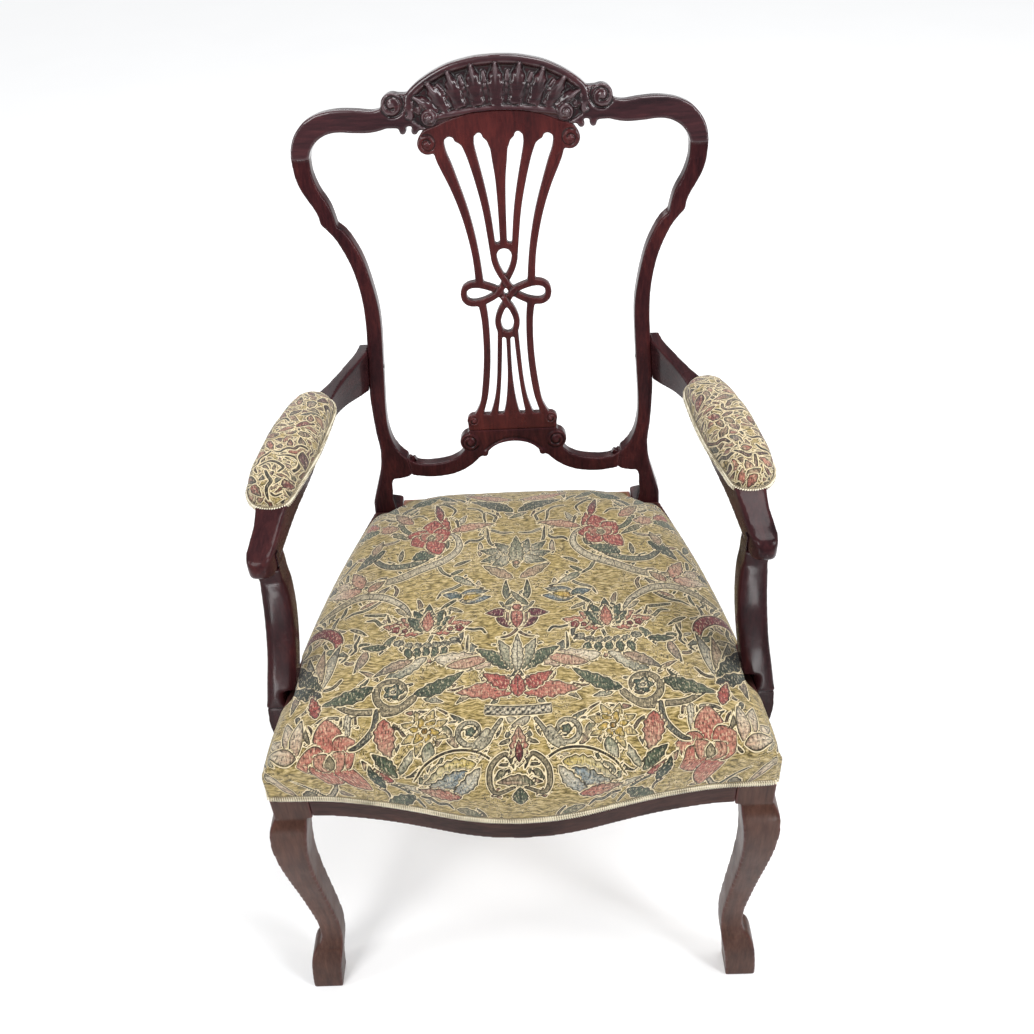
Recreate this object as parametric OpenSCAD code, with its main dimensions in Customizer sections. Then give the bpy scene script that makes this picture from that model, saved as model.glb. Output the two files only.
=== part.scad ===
// Open armchair with a pierced splat back, serpentine stuffed seat and padded arms.
// Frame: +X to the sitter's left seen from the front, front faces -Y, +Z up.
// Origin on the floor, at the middle of the chair's footprint. Millimetres.

/* [Back] */
// Lean of the back from upright, in degrees
back_tilt = 9.65; // [9:0.05:10.3]
// Thickness of the posts and lower rail, in mm
back_thick = 20; // [18:0.5:22]
// Thickness of the pierced splat, in mm
splat_thick = 13; // [10:0.5:15]
// Thickness of the crest rail, in mm
crest_thick = 23; // [21:0.5:24]
// Width of the interlaced strap in the splat, in mm
strap_w = 7.6; // [6.5:0.1:8.5]

/* [Seat frame] */
// Underside of the seat rails above the floor, in mm
rail_z = 356; // [350:1:360]
// Height of the seat rails, in mm
rail_h = 69; // [64:1:72]
// Thickness of the side and back rails, in mm
rail_t = 22; // [18:1:25]
// Width of the square block on top of each front leg, in mm
block_w = 42; // [40:0.5:44]
// Diameter of the joint dowels, in mm
dowel_d = 8; // [6:1:10]
// Diameter of the wood screws, in mm
screw_d = 4; // [3.5:0.5:5]

/* [Upholstery] */
// Width of the jute webbing, in mm
web_w = 50; // [44:1:54]
// Height of the crown of the seat above the rails, in mm
seat_crown = 36; // [28:1:42]
// Thickness of the woven covers, in mm
cloth_t = 1.6; // [1.2:0.1:2]
// Height of the uncovered wood along the bottom of the rails, in mm
show_wood = 33; // [30:1:38]
// Height of the arm pads above the arm, in mm
pad_crown = 23; // [18:1:26]

/* [Hidden] */
$fn = 48;
rail_top = rail_z + rail_h;
skirt_z = rail_z + show_wood;
web_t = 2;
tan_b = tan(back_tilt);

// ---- curves -----------------------------------------------------------------

// One point of a smooth curve that passes through every point of p.
function on_curve(p, i, t) =
    let (n = len(p), a = p[max(i - 1, 0)], b = p[i], c = p[min(i + 1, n - 1)], d = p[min(i + 2, n - 1)])
    0.5 * (2 * b + (c - a) * t + (2 * a - 5 * b + 4 * c - d) * t * t
           + (3 * b - a - 3 * c + d) * t * t * t);
function curve(p, k = 4) =
    concat([for (i = [0 : len(p) - 2]) for (j = [0 : k - 1]) on_curve(p, i, j / k)], [p[len(p) - 1]]);
// The same for a closed outline.
function on_loop(p, i, t) =
    let (n = len(p), a = p[(i + n - 1) % n], b = p[i], c = p[(i + 1) % n], d = p[(i + 2) % n])
    0.5 * (2 * b + (c - a) * t + (2 * a - 5 * b + 4 * c - d) * t * t
           + (3 * b - a - 3 * c + d) * t * t * t);
function loop(p, k = 4) = [for (i = [0 : len(p) - 1]) for (j = [0 : k - 1]) on_loop(p, i, j / k)];
function turned(p) = [for (i = [len(p) - 1 : -1 : 0]) p[i]];
function flip(p) = turned([for (q = p) [-q[0], q[1]]]);
function unit(v) = v / norm(v);
// A closed outline moved outwards by d (points run anticlockwise).
function grown(p, d) =
    let (n = len(p))
    [for (i = [0 : n - 1])
        let (e = unit(p[(i + 1) % n] - p[(i + n - 1) % n])) p[i] + d * [e[1], -e[0]]];
// A strap of width w along an open path.
function strap(p, w) =
    let (n = len(p),
         e = [for (i = [0 : n - 1]) unit(p[min(i + 1, n - 1)] - p[max(i - 1, 0)])])
    concat([for (i = [0 : n - 1]) p[i] + w / 2 * [e[i][1], -e[i][0]]],
           turned([for (i = [0 : n - 1]) p[i] - w / 2 * [e[i][1], -e[i][0]]]));
// A bar from rows of [height, inner x, outer x].
function bar(rows, k = 3) =
    concat(curve([for (r = rows) [r[2], r[0]]], k), turned(curve([for (r = rows) [r[1], r[0]]], k)));

// ---- the plane of the back --------------------------------------------------

function back_y(z) = 188 + tan_b * (z - 470);
// Outlines of the back are given as [x, height above the floor].
function up(p) = [for (q = p) [q[0], (q[1] - 470) / cos(back_tilt)]];
module on_back(t, front = 0) {
    translate([0, 188, 470])
        rotate([90 - back_tilt, 0, 0])
            translate([0, 0, front - t])
                linear_extrude(t) children();
}
module at_back(x, z, depth = 0) {
    translate([0, 188, 470])
        rotate([90 - back_tilt, 0, 0])
            translate([x, (z - 470) / cos(back_tilt), -depth]) children();
}

// ---- back posts (rear leg and stile in one) ---------------------------------

ear_joint = 886;
post_outer_top = [[240.4, ear_joint], [239.2, 868], [235, 853], [228, 840], [221.5, 829], [217.3, 819]];
post_outer_mid = [[217, 812], [209.5, 804], [199, 790], [186, 760], [178.6, 725], [177, 690],
                  [179, 650], [182.5, 595], [180.5, 545], [177.5, 518], [179.5, 492], [186, 468],
                  [194.5, 440]];
post_outer_leg = [[194.5, 440], [195.5, 400], [194, 340], [190, 240], [190, 120], [194, 0]];
post_inner_leg = [[165, 0], [160, 120], [158, 240], [157.5, 340], [158, 425], [165.5, 450], [165.5, 470]];
post_inner_low = [[163, 474], [150, 475.5], [143, 477.5], [137.5, 481]];
post_inner_mid = [[142, 503], [152, 513], [159.5, 528], [163.5, 548], [164, 572], [162.5, 600],
                  [160, 640], [157.8, 690], [160.5, 722], [169.5, 764], [181, 790], [190, 803]];
post_inner_top = [[197, 808], [199.5, 820], [203.5, 833], [213, 850], [218.5, 868],
                  [219.2, ear_joint]];

module post_front_shape() {
    polygon(concat(curve(post_outer_top), curve(post_outer_mid), curve(post_outer_leg),
                   curve(post_inner_leg), post_inner_low,
                   curve(post_inner_mid), curve(post_inner_top)));
}
module post_side_shape() {
    polygon(concat(curve([[271, 0], [259, 60], [237, 140], [211, 230], [189, 310], [182, 345]]),
                   [[182, 425], [back_y(440), 440], [back_y(940), 940]],
                   [[back_y(940) + back_thick / cos(back_tilt), 940]],
                   [[back_y(490) + back_thick / cos(back_tilt), 490]],
                   curve([[back_y(480) + back_thick / cos(back_tilt), 480], [211, 460], [213, 440],
                          [218, 420], [218, 345], [224, 310], [244, 230], [269, 140], [289, 60], [299, 0]])));
}
// Plain post, without its bores.
module post_body() {
    intersection() {
        translate([0, 400, 0]) rotate([90, 0, 0]) linear_extrude(400) post_front_shape();
        translate([120, 0, 0]) rotate([90, 0, 90]) linear_extrude(140) post_side_shape();
        // top end cut square to the slope of the back
        translate([100, 188, 470]) rotate([-back_tilt, 0, 0])
            translate([0, -200, -600]) cube([160, 400, 600 + (ear_joint - 470) / cos(back_tilt)]);
    }
}
module back_post_right() {
    color([0.30, 0.10, 0.07]) difference() {
        post_body();
        right_dowels();
        arm_screw();
        block_screws_back();
    }
}
module back_post_left() {
    mirror([1, 0, 0]) back_post_right();
}

// ---- crest rail -------------------------------------------------------------

ear_outer = [[240.4, ear_joint], [238.5, 899], [233, 912], [222, 924.5], [211, 931], [198, 935],
             [180, 937], [160, 936], [142, 934], [129, 937]];
ear_inner = [[129, 914], [145, 911], [165, 911.5], [182, 913], [196, 911], [208, 904.5],
             [216, 895], [219.2, ear_joint]];
tablet_top = [[103, 934], [103.6, 942], [101, 950.5], [94, 957.5], [84, 964.5], [71, 971.5],
              [54, 978.5], [35, 983], [18, 985.3], [0, 986]];
tablet_low = [[0, 929.5], [28, 928], [52, 923], [74, 915]];
tablet_side = [[86, 911], [94, 915], [100.5, 924], [103, 934]];
lobe_count = 10;

module crest_half() {
    polygon(up(concat(turned(curve(ear_outer)), turned(curve(ear_inner)))));
    polygon(up(concat(curve(tablet_top), curve(tablet_low), curve(tablet_side))));
    translate(up([[118, 940]])[0]) circle(12.6);
    translate(up([[108.5, 911.5]])[0]) circle(4.2);
    translate(up([[95, 911]])[0]) circle(4.2);
    polygon(up([[96, 950], [110, 951], [130, 930], [130, 915], [112, 914.5], [96, 917]]));
}
module crest_rail() {
    color([0.22, 0.07, 0.06]) difference() {
        union() {
            on_back(crest_thick, 1.5) {
                crest_half();
                mirror([1, 0]) crest_half();
            }
            for (s = [-1, 1]) {
                at_back(s * 118, 940, 0) cylinder(h = 4.5, r = 7.5);
                at_back(s * 76, 925, 0) cylinder(h = 5, r = 9);
            }
            // moulded rim of the tablet
            on_back(3, 3.5) difference() {
                polygon(up(concat(curve(tablet_top, 3), turned([for (q = curve(tablet_top, 3))
                    [q[0] * 0.945, 934 + (q[1] - 934) * 0.9]]))));
            }
            mirror([1, 0, 0]) on_back(3, 3.5) difference() {
                polygon(up(concat(curve(tablet_top, 3), turned([for (q = curve(tablet_top, 3))
                    [q[0] * 0.945, 934 + (q[1] - 934) * 0.9]]))));
            }
            // fan of carved leaves, each a tapered half round
            for (i = [0 : lobe_count - 1])
                let (a = (i - (lobe_count - 1) / 2) / ((lobe_count - 1) / 2))
                    at_back(a * 66, 938 - 4 * a * a, 0)
                        rotate([0, 0, -a * 42]) rotate([-90, 0, 0])
                            cylinder(h = 34 - 6 * a * a, r1 = 4.6, r2 = 2.4);
        }
        splat_tenon_top(0.2);
        for (s = [0, 1]) mirror([s, 0, 0]) right_dowels();
    }
}

// ---- splat ------------------------------------------------------------------

outer_bar = [[908, 64, 82], [889, 61.5, 76], [874, 56, 71.5], [847, 47.3, 59.5], [820, 39.5, 50],
             [792, 33.5, 43], [763, 29.3, 38.2], [731, 26.5, 36.4]];
inner_bar = [[908, 30.5, 49], [889, 27.5, 41], [874, 24.3, 35.7], [847, 18.5, 28.6], [820, 14, 23],
             [792, 11, 19.4], [768, 9, 16.8]];
middle_bar = [[908, 0, 13], [889, 0, 10.2], [874, 0, 8.5], [855, 0, 6.2], [825, 0, 4.9], [776, 0, 4.2]];
low_outer_bar = [[712, 26, 36], [689, 23.5, 32.3], [657, 23, 31.6], [626, 24.5, 33.4],
                 [593, 28.5, 37.5], [575, 33, 41.5], [556, 39, 52]];
low_inner_bar = [[672, 7, 13], [642, 8.8, 14.8], [609, 11.4, 17.2], [582, 14.6, 21.5], [556, 19, 30]];
low_middle_bar = [[670, 0, 2.8], [626, 0, 2.8], [600, 0, 4.2], [577, 0, 7], [556, 0, 12]];
strap_down = [[0, 779], [-8.2, 776], [-12.7, 767.5], [-10.5, 755], [-5.5, 744], [0, 735.5],
              [8.5, 722.3], [20, 714.3], [33, 710], [43.5, 709.5], [50.5, 714], [52.3, 721]];
strap_back = [[52.3, 721], [50, 728], [42.5, 732], [33, 732], [20, 728.3], [8.5, 722.3], [0, 709.5],
              [-5.8, 702], [-10.3, 692], [-11.6, 682], [-7.8, 671], [0, 667.5]];

module splat_half() {
    for (b = [outer_bar, inner_bar, middle_bar, low_outer_bar, low_inner_bar, low_middle_bar])
        polygon(up(bar(b)));
    polygon(up(strap(curve(strap_down, 5), strap_w)));
    polygon(up(strap(curve(strap_back, 5), strap_w)));
    translate(up([[52.3, 721]])[0]) circle(strap_w / 2);
    // shoe under the crest rail, with its scroll
    polygon(up(concat(curve(tablet_low), [[86, 911], [92, 903], [90, 888], [76, 886], [63, 893],
                      [62, 900.5], [56.5, 903.5], [52, 902], [50.5, 898], [45, 895], [42, 892],
                      [28.5, 892], [28, 902.5], [23, 906.5], [19.5, 905.5], [18, 901], [13.5, 897],
                      [11, 890], [0, 890]])));
    translate(up([[81.5, 896.5]])[0]) circle(12);
    // shoe on the lower rail, with its scroll
    polygon(up([[0, 541], [58, 541], [58, 552], [50, 560], [44, 562], [0, 562]]));
    translate(up([[50.5, 554]])[0]) circle(8.4);
}
module splat_tenon_top(gap = 0) {
    on_back(8 + 2 * gap, -2.5 + gap) polygon(up([[-40 - gap, 915], [40 + gap, 915],
        [40 + gap, 943 + gap], [-40 - gap, 943 + gap]]));
}
module splat_tenon_low(gap = 0) {
    on_back(8 + 2 * gap, -2.5 + gap) polygon(up([[-45 - gap, 530 - gap], [45 + gap, 530 - gap],
        [45 + gap, 545], [-45 - gap, 545]]));
}
module back_splat() {
    color([0.34, 0.10, 0.07]) union() {
        on_back(splat_thick) {
            splat_half();
            mirror([1, 0]) splat_half();
        }
        splat_tenon_top();
        splat_tenon_low();
        for (s = [-1, 1]) {
            at_back(s * 81.5, 896.5, 0) cylinder(h = 3, r = 6.5);
            at_back(s * 50.5, 554, 0) cylinder(h = 3, r = 4.8);
        }
    }
}

// ---- lower back rail --------------------------------------------------------

low_rail_top = [[64, 514], [74, 504], [89, 497.5], [108, 494.5], [122, 494.5], [133, 497.5],
                [146, 507]];
low_rail_low = [[160, 490], [146, 482.5], [130, 478], [112, 475.6], [92, 477], [74, 481.5], [57, 491],
                [45, 502]];
arch = [[34.5, 509], [24, 518], [12, 522], [0, 523.4]];

module low_rail_half() {
    polygon(up(concat(curve(low_rail_top), [[168, 524], [168, 494]], curve(low_rail_low),
                      [[38, 520], [50, 538]])));
    polygon(up(concat([[0, 541], [58, 541], [58, 516], [44, 502]], curve(arch))));
    translate(up([[57, 524]])[0]) circle(13.4);
    translate(up([[38.5, 507.5]])[0]) circle(5);
}
module lower_back_rail() {
    color([0.30, 0.09, 0.07]) difference() {
        union() {
            on_back(back_thick) {
                low_rail_half();
                mirror([1, 0]) low_rail_half();
            }
            for (s = [-1, 1]) at_back(s * 57, 524, 0) cylinder(h = 3.5, r = 8.6);
        }
        for (s = [0, 1]) mirror([s, 0, 0]) {
            post_body();
            right_dowels();
        }
        splat_tenon_low(0.2);
    }
}

// ---- front legs -------------------------------------------------------------

block_x = 271;
block_y = -258;
// How far the leg's outer faces stand out from the block, against height.
leg_out = [[12, 0], [10.5, 25], [7.5, 52], [2.5, 69], [-5, 80], [-8, 95], [-8, 120], [-4.5, 159],
           [0, 200], [4.7, 238], [8.4, 273], [10, 304], [9.3, 325], [7, 339], [2, 349]];

module leg_side_shape(foot) {
    // x is measured inwards from the block's outer face
    polygon(concat([for (q = curve(leg_out)) [-q[0] - (q[1] < 75 ? foot : 0), q[1]]],
                   [[0, 352], [0, rail_top], [block_w, rail_top], [block_w, 352]],
                   curve([[35, 352], [34, 338], [31, 318], [28, 285], [28, 240], [30, 200],
                          [32.5, 159], [34.5, 120], [34.4, 95], [32.5, 70], [27.5, 40], [24, 0]])));
}
module front_leg_right() {
    color([0.27, 0.12, 0.10]) difference() {
        intersection() {
            translate([block_x, 0, 0]) rotate([90, 0, 0]) mirror([1, 0, 0])
                linear_extrude(400) leg_side_shape(1.5);
            translate([0, block_y, 0]) rotate([90, 0, 90])
                linear_extrude(400) leg_side_shape(-1.5);
        }
        right_dowels();
        block_screws_front();
    }
}
module front_leg_left() {
    mirror([1, 0, 0]) front_leg_right();
}

// ---- seat rails -------------------------------------------------------------

block_in = block_x - block_w;
serpentine = [[block_in, -258], [205, -259.3], [172, -263.5], [136, -270], [100, -278.5],
              [66, -287], [33, -292.5], [0, -294.4]];
side_face = [[270, -216], [263, -150], [254.5, -84], [243.5, -18], [230, 48], [213.5, 114],
             [195, 182]];

module front_seat_rail() {
    color([0.28, 0.11, 0.09]) difference() {
        translate([0, 0, rail_z]) linear_extrude(rail_h)
            polygon(concat(turned(flip(curve(serpentine))), turned(curve(serpentine)),
                           [[block_in, -230], [150, -238], [60, -258], [-60, -258],
                            [-150, -238], [-block_in, -230]]));
        for (s = [0, 1]) mirror([s, 0, 0]) {
            right_dowels();
            block_screws_front();
        }
    }
}
module side_rail_body(h = rail_h, z = rail_z) {
    translate([0, 0, z]) linear_extrude(h)
        polygon(concat(curve(side_face), [[195 - rail_t * 1.02, 182], [218 - rail_t * 1.02, 82],
                                              [251 - rail_t * 1.02, -84], [270 - rail_t * 1.02, -216]]));
}
module side_seat_rail_right() {
    color([0.28, 0.11, 0.09]) difference() {
        side_rail_body();
        right_dowels();
        block_screws_front();
        block_screws_back();
        support_screws();
    }
}
module side_seat_rail_left() {
    mirror([1, 0, 0]) side_seat_rail_right();
}
module back_seat_rail() {
    color([0.45, 0.30, 0.18]) difference() {
        translate([-157.5, 186, rail_z]) cube([315, rail_t, rail_h]);
        for (s = [0, 1]) mirror([s, 0, 0]) {
            right_dowels();
            block_screws_back();
        }
    }
}

// ---- corner blocks ----------------------------------------------------------

block_h = 40;
block_z = rail_z + 12;
module corner_block_front_right() {
    color([0.62, 0.45, 0.28]) difference() {
        translate([0, 0, block_z]) linear_extrude(block_h)
            polygon([[228.5, -228.5], [228.5, -214.5], [246.3, -214.5], [238, -165], [222, -165],
                     [178, -209], [178, -233]]);
        block_screws_front(30);
    }
}
module corner_block_front_left() {
    mirror([1, 0, 0]) corner_block_front_right();
}
module corner_block_back_right() {
    color([0.62, 0.45, 0.28]) difference() {
        translate([0, 0, block_z]) linear_extrude(block_h)
            polygon([[157, 185.5], [115, 185.5], [115, 170], [158, 122], [184.5, 122], [174, 181.5],
                     [157, 181.5]]);
        block_screws_back(30);
    }
}
module corner_block_back_left() {
    mirror([1, 0, 0]) corner_block_back_right();
}
module screw(len, sink = 0) {
    // head at the origin, pointing along -Z, with an optional counterbore behind it
    translate([0, 0, -len]) cylinder(h = len, d = screw_d);
    translate([0, 0, -2]) cylinder(h = 2, d1 = screw_d, d2 = screw_d * 2);
    if (sink > 0) cylinder(h = sink, d = screw_d * 2 + 1);
}
module block_screws_front(sink = 0) {
    translate([196, -200, block_z + block_h / 2]) rotate([-90, 0, 0]) screw(48, sink);
    translate([213, -180, block_z + block_h / 2]) rotate([0, -90, 0]) screw(42, sink);
}
module block_screws_back(sink = 0) {
    translate([130, 164, block_z + block_h / 2]) rotate([90, 0, 0]) screw(34, sink);
    translate([155, 137, block_z + block_h / 2]) rotate([0, -90, 0]) screw(44, sink);
}
module corner_block_screws() {
    color([0.75, 0.65, 0.35]) for (s = [0, 1]) mirror([s, 0, 0]) {
        block_screws_front();
        block_screws_back();
    }
}

// ---- dowels -----------------------------------------------------------------

// Dowels of the right half: 1 for the seat frame, 2 for the back, 0 for both.
module right_dowels(which = 0) {
    d = dowel_d;
    if (which == 0 || which == 1) {
        for (z = [rail_z + 17, rail_top - 17]) {
            translate([block_in - 22, -243, z]) rotate([0, 90, 0]) cylinder(h = 44, d = d);
            translate([250, -216 - 20, z - 8]) rotate([-90, 0, 0.5]) cylinder(h = 42, d = d);
            translate([181, 182 + 18, z - 8]) rotate([90, 0, 0]) cylinder(h = 40, d = d);
            translate([157.5 - 24, 197, z]) rotate([0, 90, 0]) cylinder(h = 42, d = d);
        }
    }
    if (which == 0 || which == 2) {
        at_back(227.5, ear_joint, back_thick / 2) rotate([90, 0, 0])
            translate([0, 0, -16]) cylinder(h = 34, d = d);
        at_back(144, 494, back_thick / 2) rotate([0, 90, -32])
            translate([0, 0, -14]) cylinder(h = 34, d = d);
    }
}
module seat_frame_dowels() {
    color([0.80, 0.66, 0.45]) for (s = [0, 1]) mirror([s, 0, 0]) right_dowels(1);
}
module back_frame_dowels() {
    color([0.80, 0.66, 0.45]) for (s = [0, 1]) mirror([s, 0, 0]) right_dowels(2);
}

// ---- arms -------------------------------------------------------------------

arm_in = [[170, 250], [176, 226], [188, 192], [201, 158], [210, 124], [215, 80], [218, 35],
          [222, -10], [227.5, -48], [232, -80], [235, -104], [237.5, -124], [239, -138]];
arm_nose = [[242, -148], [247, -154.5], [254.5, -156.5], [262, -154.5], [266.5, -148]];
arm_out = [[268, -138], [267, -122], [264.5, -104], [265, -86], [268.5, -66], [271, -40], [268, 0],
           [261, 40], [250, 82], [234, 124], [217, 160], [203, 195], [193, 226], [190, 250]];
arm_top = [[250, 654], [228, 654], [190, 653], [150, 651], [118, 650], [60, 650], [0, 650],
           [-45, 650], [-72, 650], [-86, 649], [-99, 646], [-112, 641.5], [-126, 637],
           [-138, 635], [-147, 633], [-153.5, 628], [-156.5, 620]];
arm_low = [[-155.5, 614], [-151, 608.5], [-144, 607], [-136, 608.5], [-126, 611], [-108, 614],
           [-85, 619], [-50, 623], [0, 625], [60, 625.5], [110, 623], [150, 617], [190, 607],
           [225, 599], [250, 596]];

module arm_body() {
    intersection() {
        translate([0, 0, 560]) linear_extrude(120)
            polygon(concat(curve(arm_in, 3), arm_nose, curve(arm_out, 3)));
        translate([150, 0, 0]) rotate([90, 0, 90]) linear_extrude(150)
            polygon(concat(curve(arm_top, 3), curve(arm_low, 3)));
    }
}
module arm_right() {
    color([0.22, 0.08, 0.07]) difference() {
        arm_body();
        post_body();
        translate([150, 0, 0]) rotate([90, 0, 90]) linear_extrude(150)
            polygon([[back_y(560) + 21, 560], [back_y(700) + 21, 700], [400, 700], [400, 560]]);
        support_dowel();
        arm_screw();
    }
}
module arm_left() {
    mirror([1, 0, 0]) arm_right();
}
support_in = [[237, 640], [236.5, 600], [235.5, 560], [237.5, 520], [242, 480], [247.5, 445], [250, 414],
              [250, 380], [250, 358]];
support_out = [[283, 358], [286.5, 372], [287.5, 392], [286, 414], [280, 450], [274, 485],
               [270, 520], [266.5, 560], [264, 600], [264, 640]];
support_front = [[-138, 640], [-138, 606], [-135, 576], [-138, 537], [-145, 495], [-152, 455],
                 [-156, 414], [-158, 385], [-157, 358]];
support_back = [[-112, 358], [-112, 385], [-114, 414], [-116.5, 455], [-114, 495], [-109, 535],
                [-106, 572], [-107, 602], [-107, 640]];
module support_body() {
    intersection() {
        rotate([90, 0, 0]) linear_extrude(300) polygon(concat(curve(support_in), curve(support_out)));
        translate([200, 0, 0]) rotate([90, 0, 90]) linear_extrude(120)
            polygon(concat(curve(support_front), curve(support_back)));
    }
}
module arm_support_right() {
    color([0.25, 0.08, 0.07]) difference() {
        support_body();
        side_rail_body(120, 320);
        arm_body();
        translate([200, -200, 630]) cube([120, 120, 40]);
        support_dowel();
        support_screws();
    }
}
module arm_support_left() {
    mirror([1, 0, 0]) arm_support_right();
}
module support_dowel() {
    translate([252, -121, 582]) cylinder(h = 40, d = dowel_d);
}
module arm_support_dowels() {
    color([0.80, 0.66, 0.45]) for (s = [0, 1]) mirror([s, 0, 0]) support_dowel();
}
module support_screws() {
    for (z = [374, 402]) translate([235, -134, z]) rotate([0, -90, 0]) screw(44);
}
module arm_support_screws() {
    color([0.75, 0.65, 0.35]) for (s = [0, 1]) mirror([s, 0, 0]) support_screws();
}
module arm_screw() {
    // from the outside of the arm into the post
    translate([196, 223, 630]) rotate([0, 90, 0]) screw(36);
}
module arm_screws() {
    color([0.75, 0.65, 0.35]) for (s = [0, 1]) mirror([s, 0, 0]) arm_screw();
}

// ---- seat upholstery --------------------------------------------------------

// Half outline of the seat at the rails, from the front middle to the back middle, as
// [x, y, kind]: 1 lifts the lower rim clear of the arm support, 2 also tucks it inside.
gap_front = -161;
gap_back = -107;
gap_x = 248.5;
function face_x(y) = lookup(y, [for (q = curve(side_face, 3)) [q[1], q[0]]]);
function kind(list, k) = [for (q = list) [q[0], q[1], k]];
side_pts = curve(side_face, 3);
seat_half = concat(
    kind(turned(curve(serpentine, 3)), 0),
    kind([[250, -258], [264, -258], [269, -256.6], [270.8, -252.6], [271, -238]], 0),
    kind([for (q = side_pts) if (q[1] < gap_front - 1) q], 0),
    [for (g = [[-1, 0], [-0.5, 1], [0, 2]])
        [face_x(gap_front + g[0]), gap_front + g[0], g[1]]],
    kind([for (q = side_pts) if (q[1] > gap_front + 2 && q[1] < gap_back - 2) q], 2),
    [for (g = [[0, 2], [0.5, 1], [1, 0]])
        [face_x(gap_back + g[0]), gap_back + g[0], g[1]]],
    kind([for (q = side_pts) if (q[1] > gap_back + 2) q], 0),
    kind([[192, 181.6], [175, 181.6], [158.5, 181.6], [157, 185], [157, 196], [157, 206],
          [154, 208], [130, 208], [90, 208], [45, 208], [0, 208]], 0));
seat_all = concat(seat_half, [for (i = [len(seat_half) - 2 : -1 : 1])
    [-seat_half[i][0], seat_half[i][1], seat_half[i][2]]]);
seat_outline = [for (q = seat_all) [q[0], q[1]]];
seat_mid = [0, -40];
// One ring of points of the seat: scaled by k, grown by out, at height z, with its rim
// no lower than rim beside the arm supports.
function seat_ring(k, out, z, rim) =
    let (g = grown(seat_outline, out))
    [for (i = [0 : len(g) - 1])
        let (q = seat_mid + (g[i] - seat_mid) * k, f = seat_all[i][2],
             lim = gap_x - 1.9 + out)
        [f == 2 ? max(-lim, min(lim, q[0])) : q[0], q[1], f > 0 ? max(z, rim) : z]];

// Closed solid through rings of points, flat at both ends.
module through(rings) {
    n = len(rings[0]);
    m = len(rings);
    polyhedron([for (r = rings) for (q = r) q], concat(
        [[for (i = [0 : n - 1]) i]],
        [for (j = [0 : m - 2]) for (i = [0 : n - 1])
            [j * n + i, (j + 1) * n + i, (j + 1) * n + (i + 1) % n, j * n + (i + 1) % n]],
        [[for (i = [n - 1 : -1 : 0]) (m - 1) * n + i]]));
}
// Open cloth shell: rings run up the outside, over the top, and down the inside.
module shell(outer, inner) {
    n = len(outer[0]);
    m = len(outer);
    w = len(inner);
    rings = concat(outer, inner);
    polyhedron([for (r = rings) for (q = r) q], concat(
        [for (j = [0 : m - 2]) for (i = [0 : n - 1])
            [j * n + i, (j + 1) * n + i, (j + 1) * n + (i + 1) % n, j * n + (i + 1) % n]],
        [[for (i = [n - 1 : -1 : 0]) (m - 1) * n + i]],
        [for (j = [m : m + w - 2]) for (i = [0 : n - 1])
            [j * n + i, j * n + (i + 1) % n, (j + 1) * n + (i + 1) % n, (j + 1) * n + i]],
        [[for (i = [0 : n - 1]) (m + w - 1) * n + i]],
        [for (i = [0 : n - 1]) [i, (i + 1) % n, m * n + (i + 1) % n, m * n + i]]));
}
// Crown of the seat: height against how far in from the edge.
crown_steps = [0.995, 0.975, 0.94, 0.89, 0.8, 0.68, 0.5, 0.28, 0.08];
function crown(k) = seat_crown * (1 - pow(k, 3.2));
function cover_rings(out) = concat(
    [seat_ring(1, out, skirt_z, rail_top + 3), seat_ring(1, out, rail_top + 4, 0)],
    [for (k = crown_steps) seat_ring(k, out, rail_top + 7 + out + crown(k), 0)]);
module webbing(y0, y1, w) {
    translate([-w / 2, y0, 0]) cube([w, y1 - y0, web_t]);
}
module seat_webbing_long() {
    color([0.72, 0.60, 0.42]) for (x = [-108, -36, 36, 108])
        translate([x, 0, rail_top]) webbing(-252 - (abs(x) < 50 ? 20 : 0), 200, web_w);
}
module seat_webbing_cross() {
    color([0.72, 0.60, 0.42]) for (y = [-182, -106, -30, 46, 122])
        translate([0, y, rail_top + web_t * 1.5])
            cube([2 * (240 - 0.194 * (y + 182)), web_w, web_t], center = true);
}
module seat_hessian() {
    color([0.68, 0.55, 0.38]) translate([0, 0, rail_top + 2 * web_t]) linear_extrude(0.8)
        polygon([for (q = seat_outline) seat_mid + (q - seat_mid) * 0.94]);
}
module seat_stuffing() {
    color([0.30, 0.24, 0.18]) through(concat(
        [seat_ring(0.945, 0, rail_top + 2 * web_t + 1, 0)],
        [for (k = [0.955, 0.95, 0.94, 0.89, 0.8, 0.68, 0.5, 0.28, 0.08])
            seat_ring(k, 0, rail_top + 6 + crown(k), 0)]));
}
module seat_cover() {
    color([0.68, 0.63, 0.42]) shell(cover_rings(0.3 + cloth_t), cover_rings(0.3));
}
module support_gap() {
    translate([236, gap_front, 340]) cube([60, gap_back - gap_front, 95]);
}
module seat_gimp() {
    color([0.85, 0.80, 0.62]) difference() {
        translate([0, 0, skirt_z - 3]) linear_extrude(11)
            difference() {
                polygon(grown(seat_outline, 0.7 + cloth_t + 2.4));
                polygon(grown(seat_outline, 0.7 + cloth_t));
            }
        translate([-194, 176, 300]) cube([388, 60, 200]);
        for (s = [0, 1]) mirror([s, 0, 0]) support_gap();
    }
}

// ---- arm pads ---------------------------------------------------------------

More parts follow.
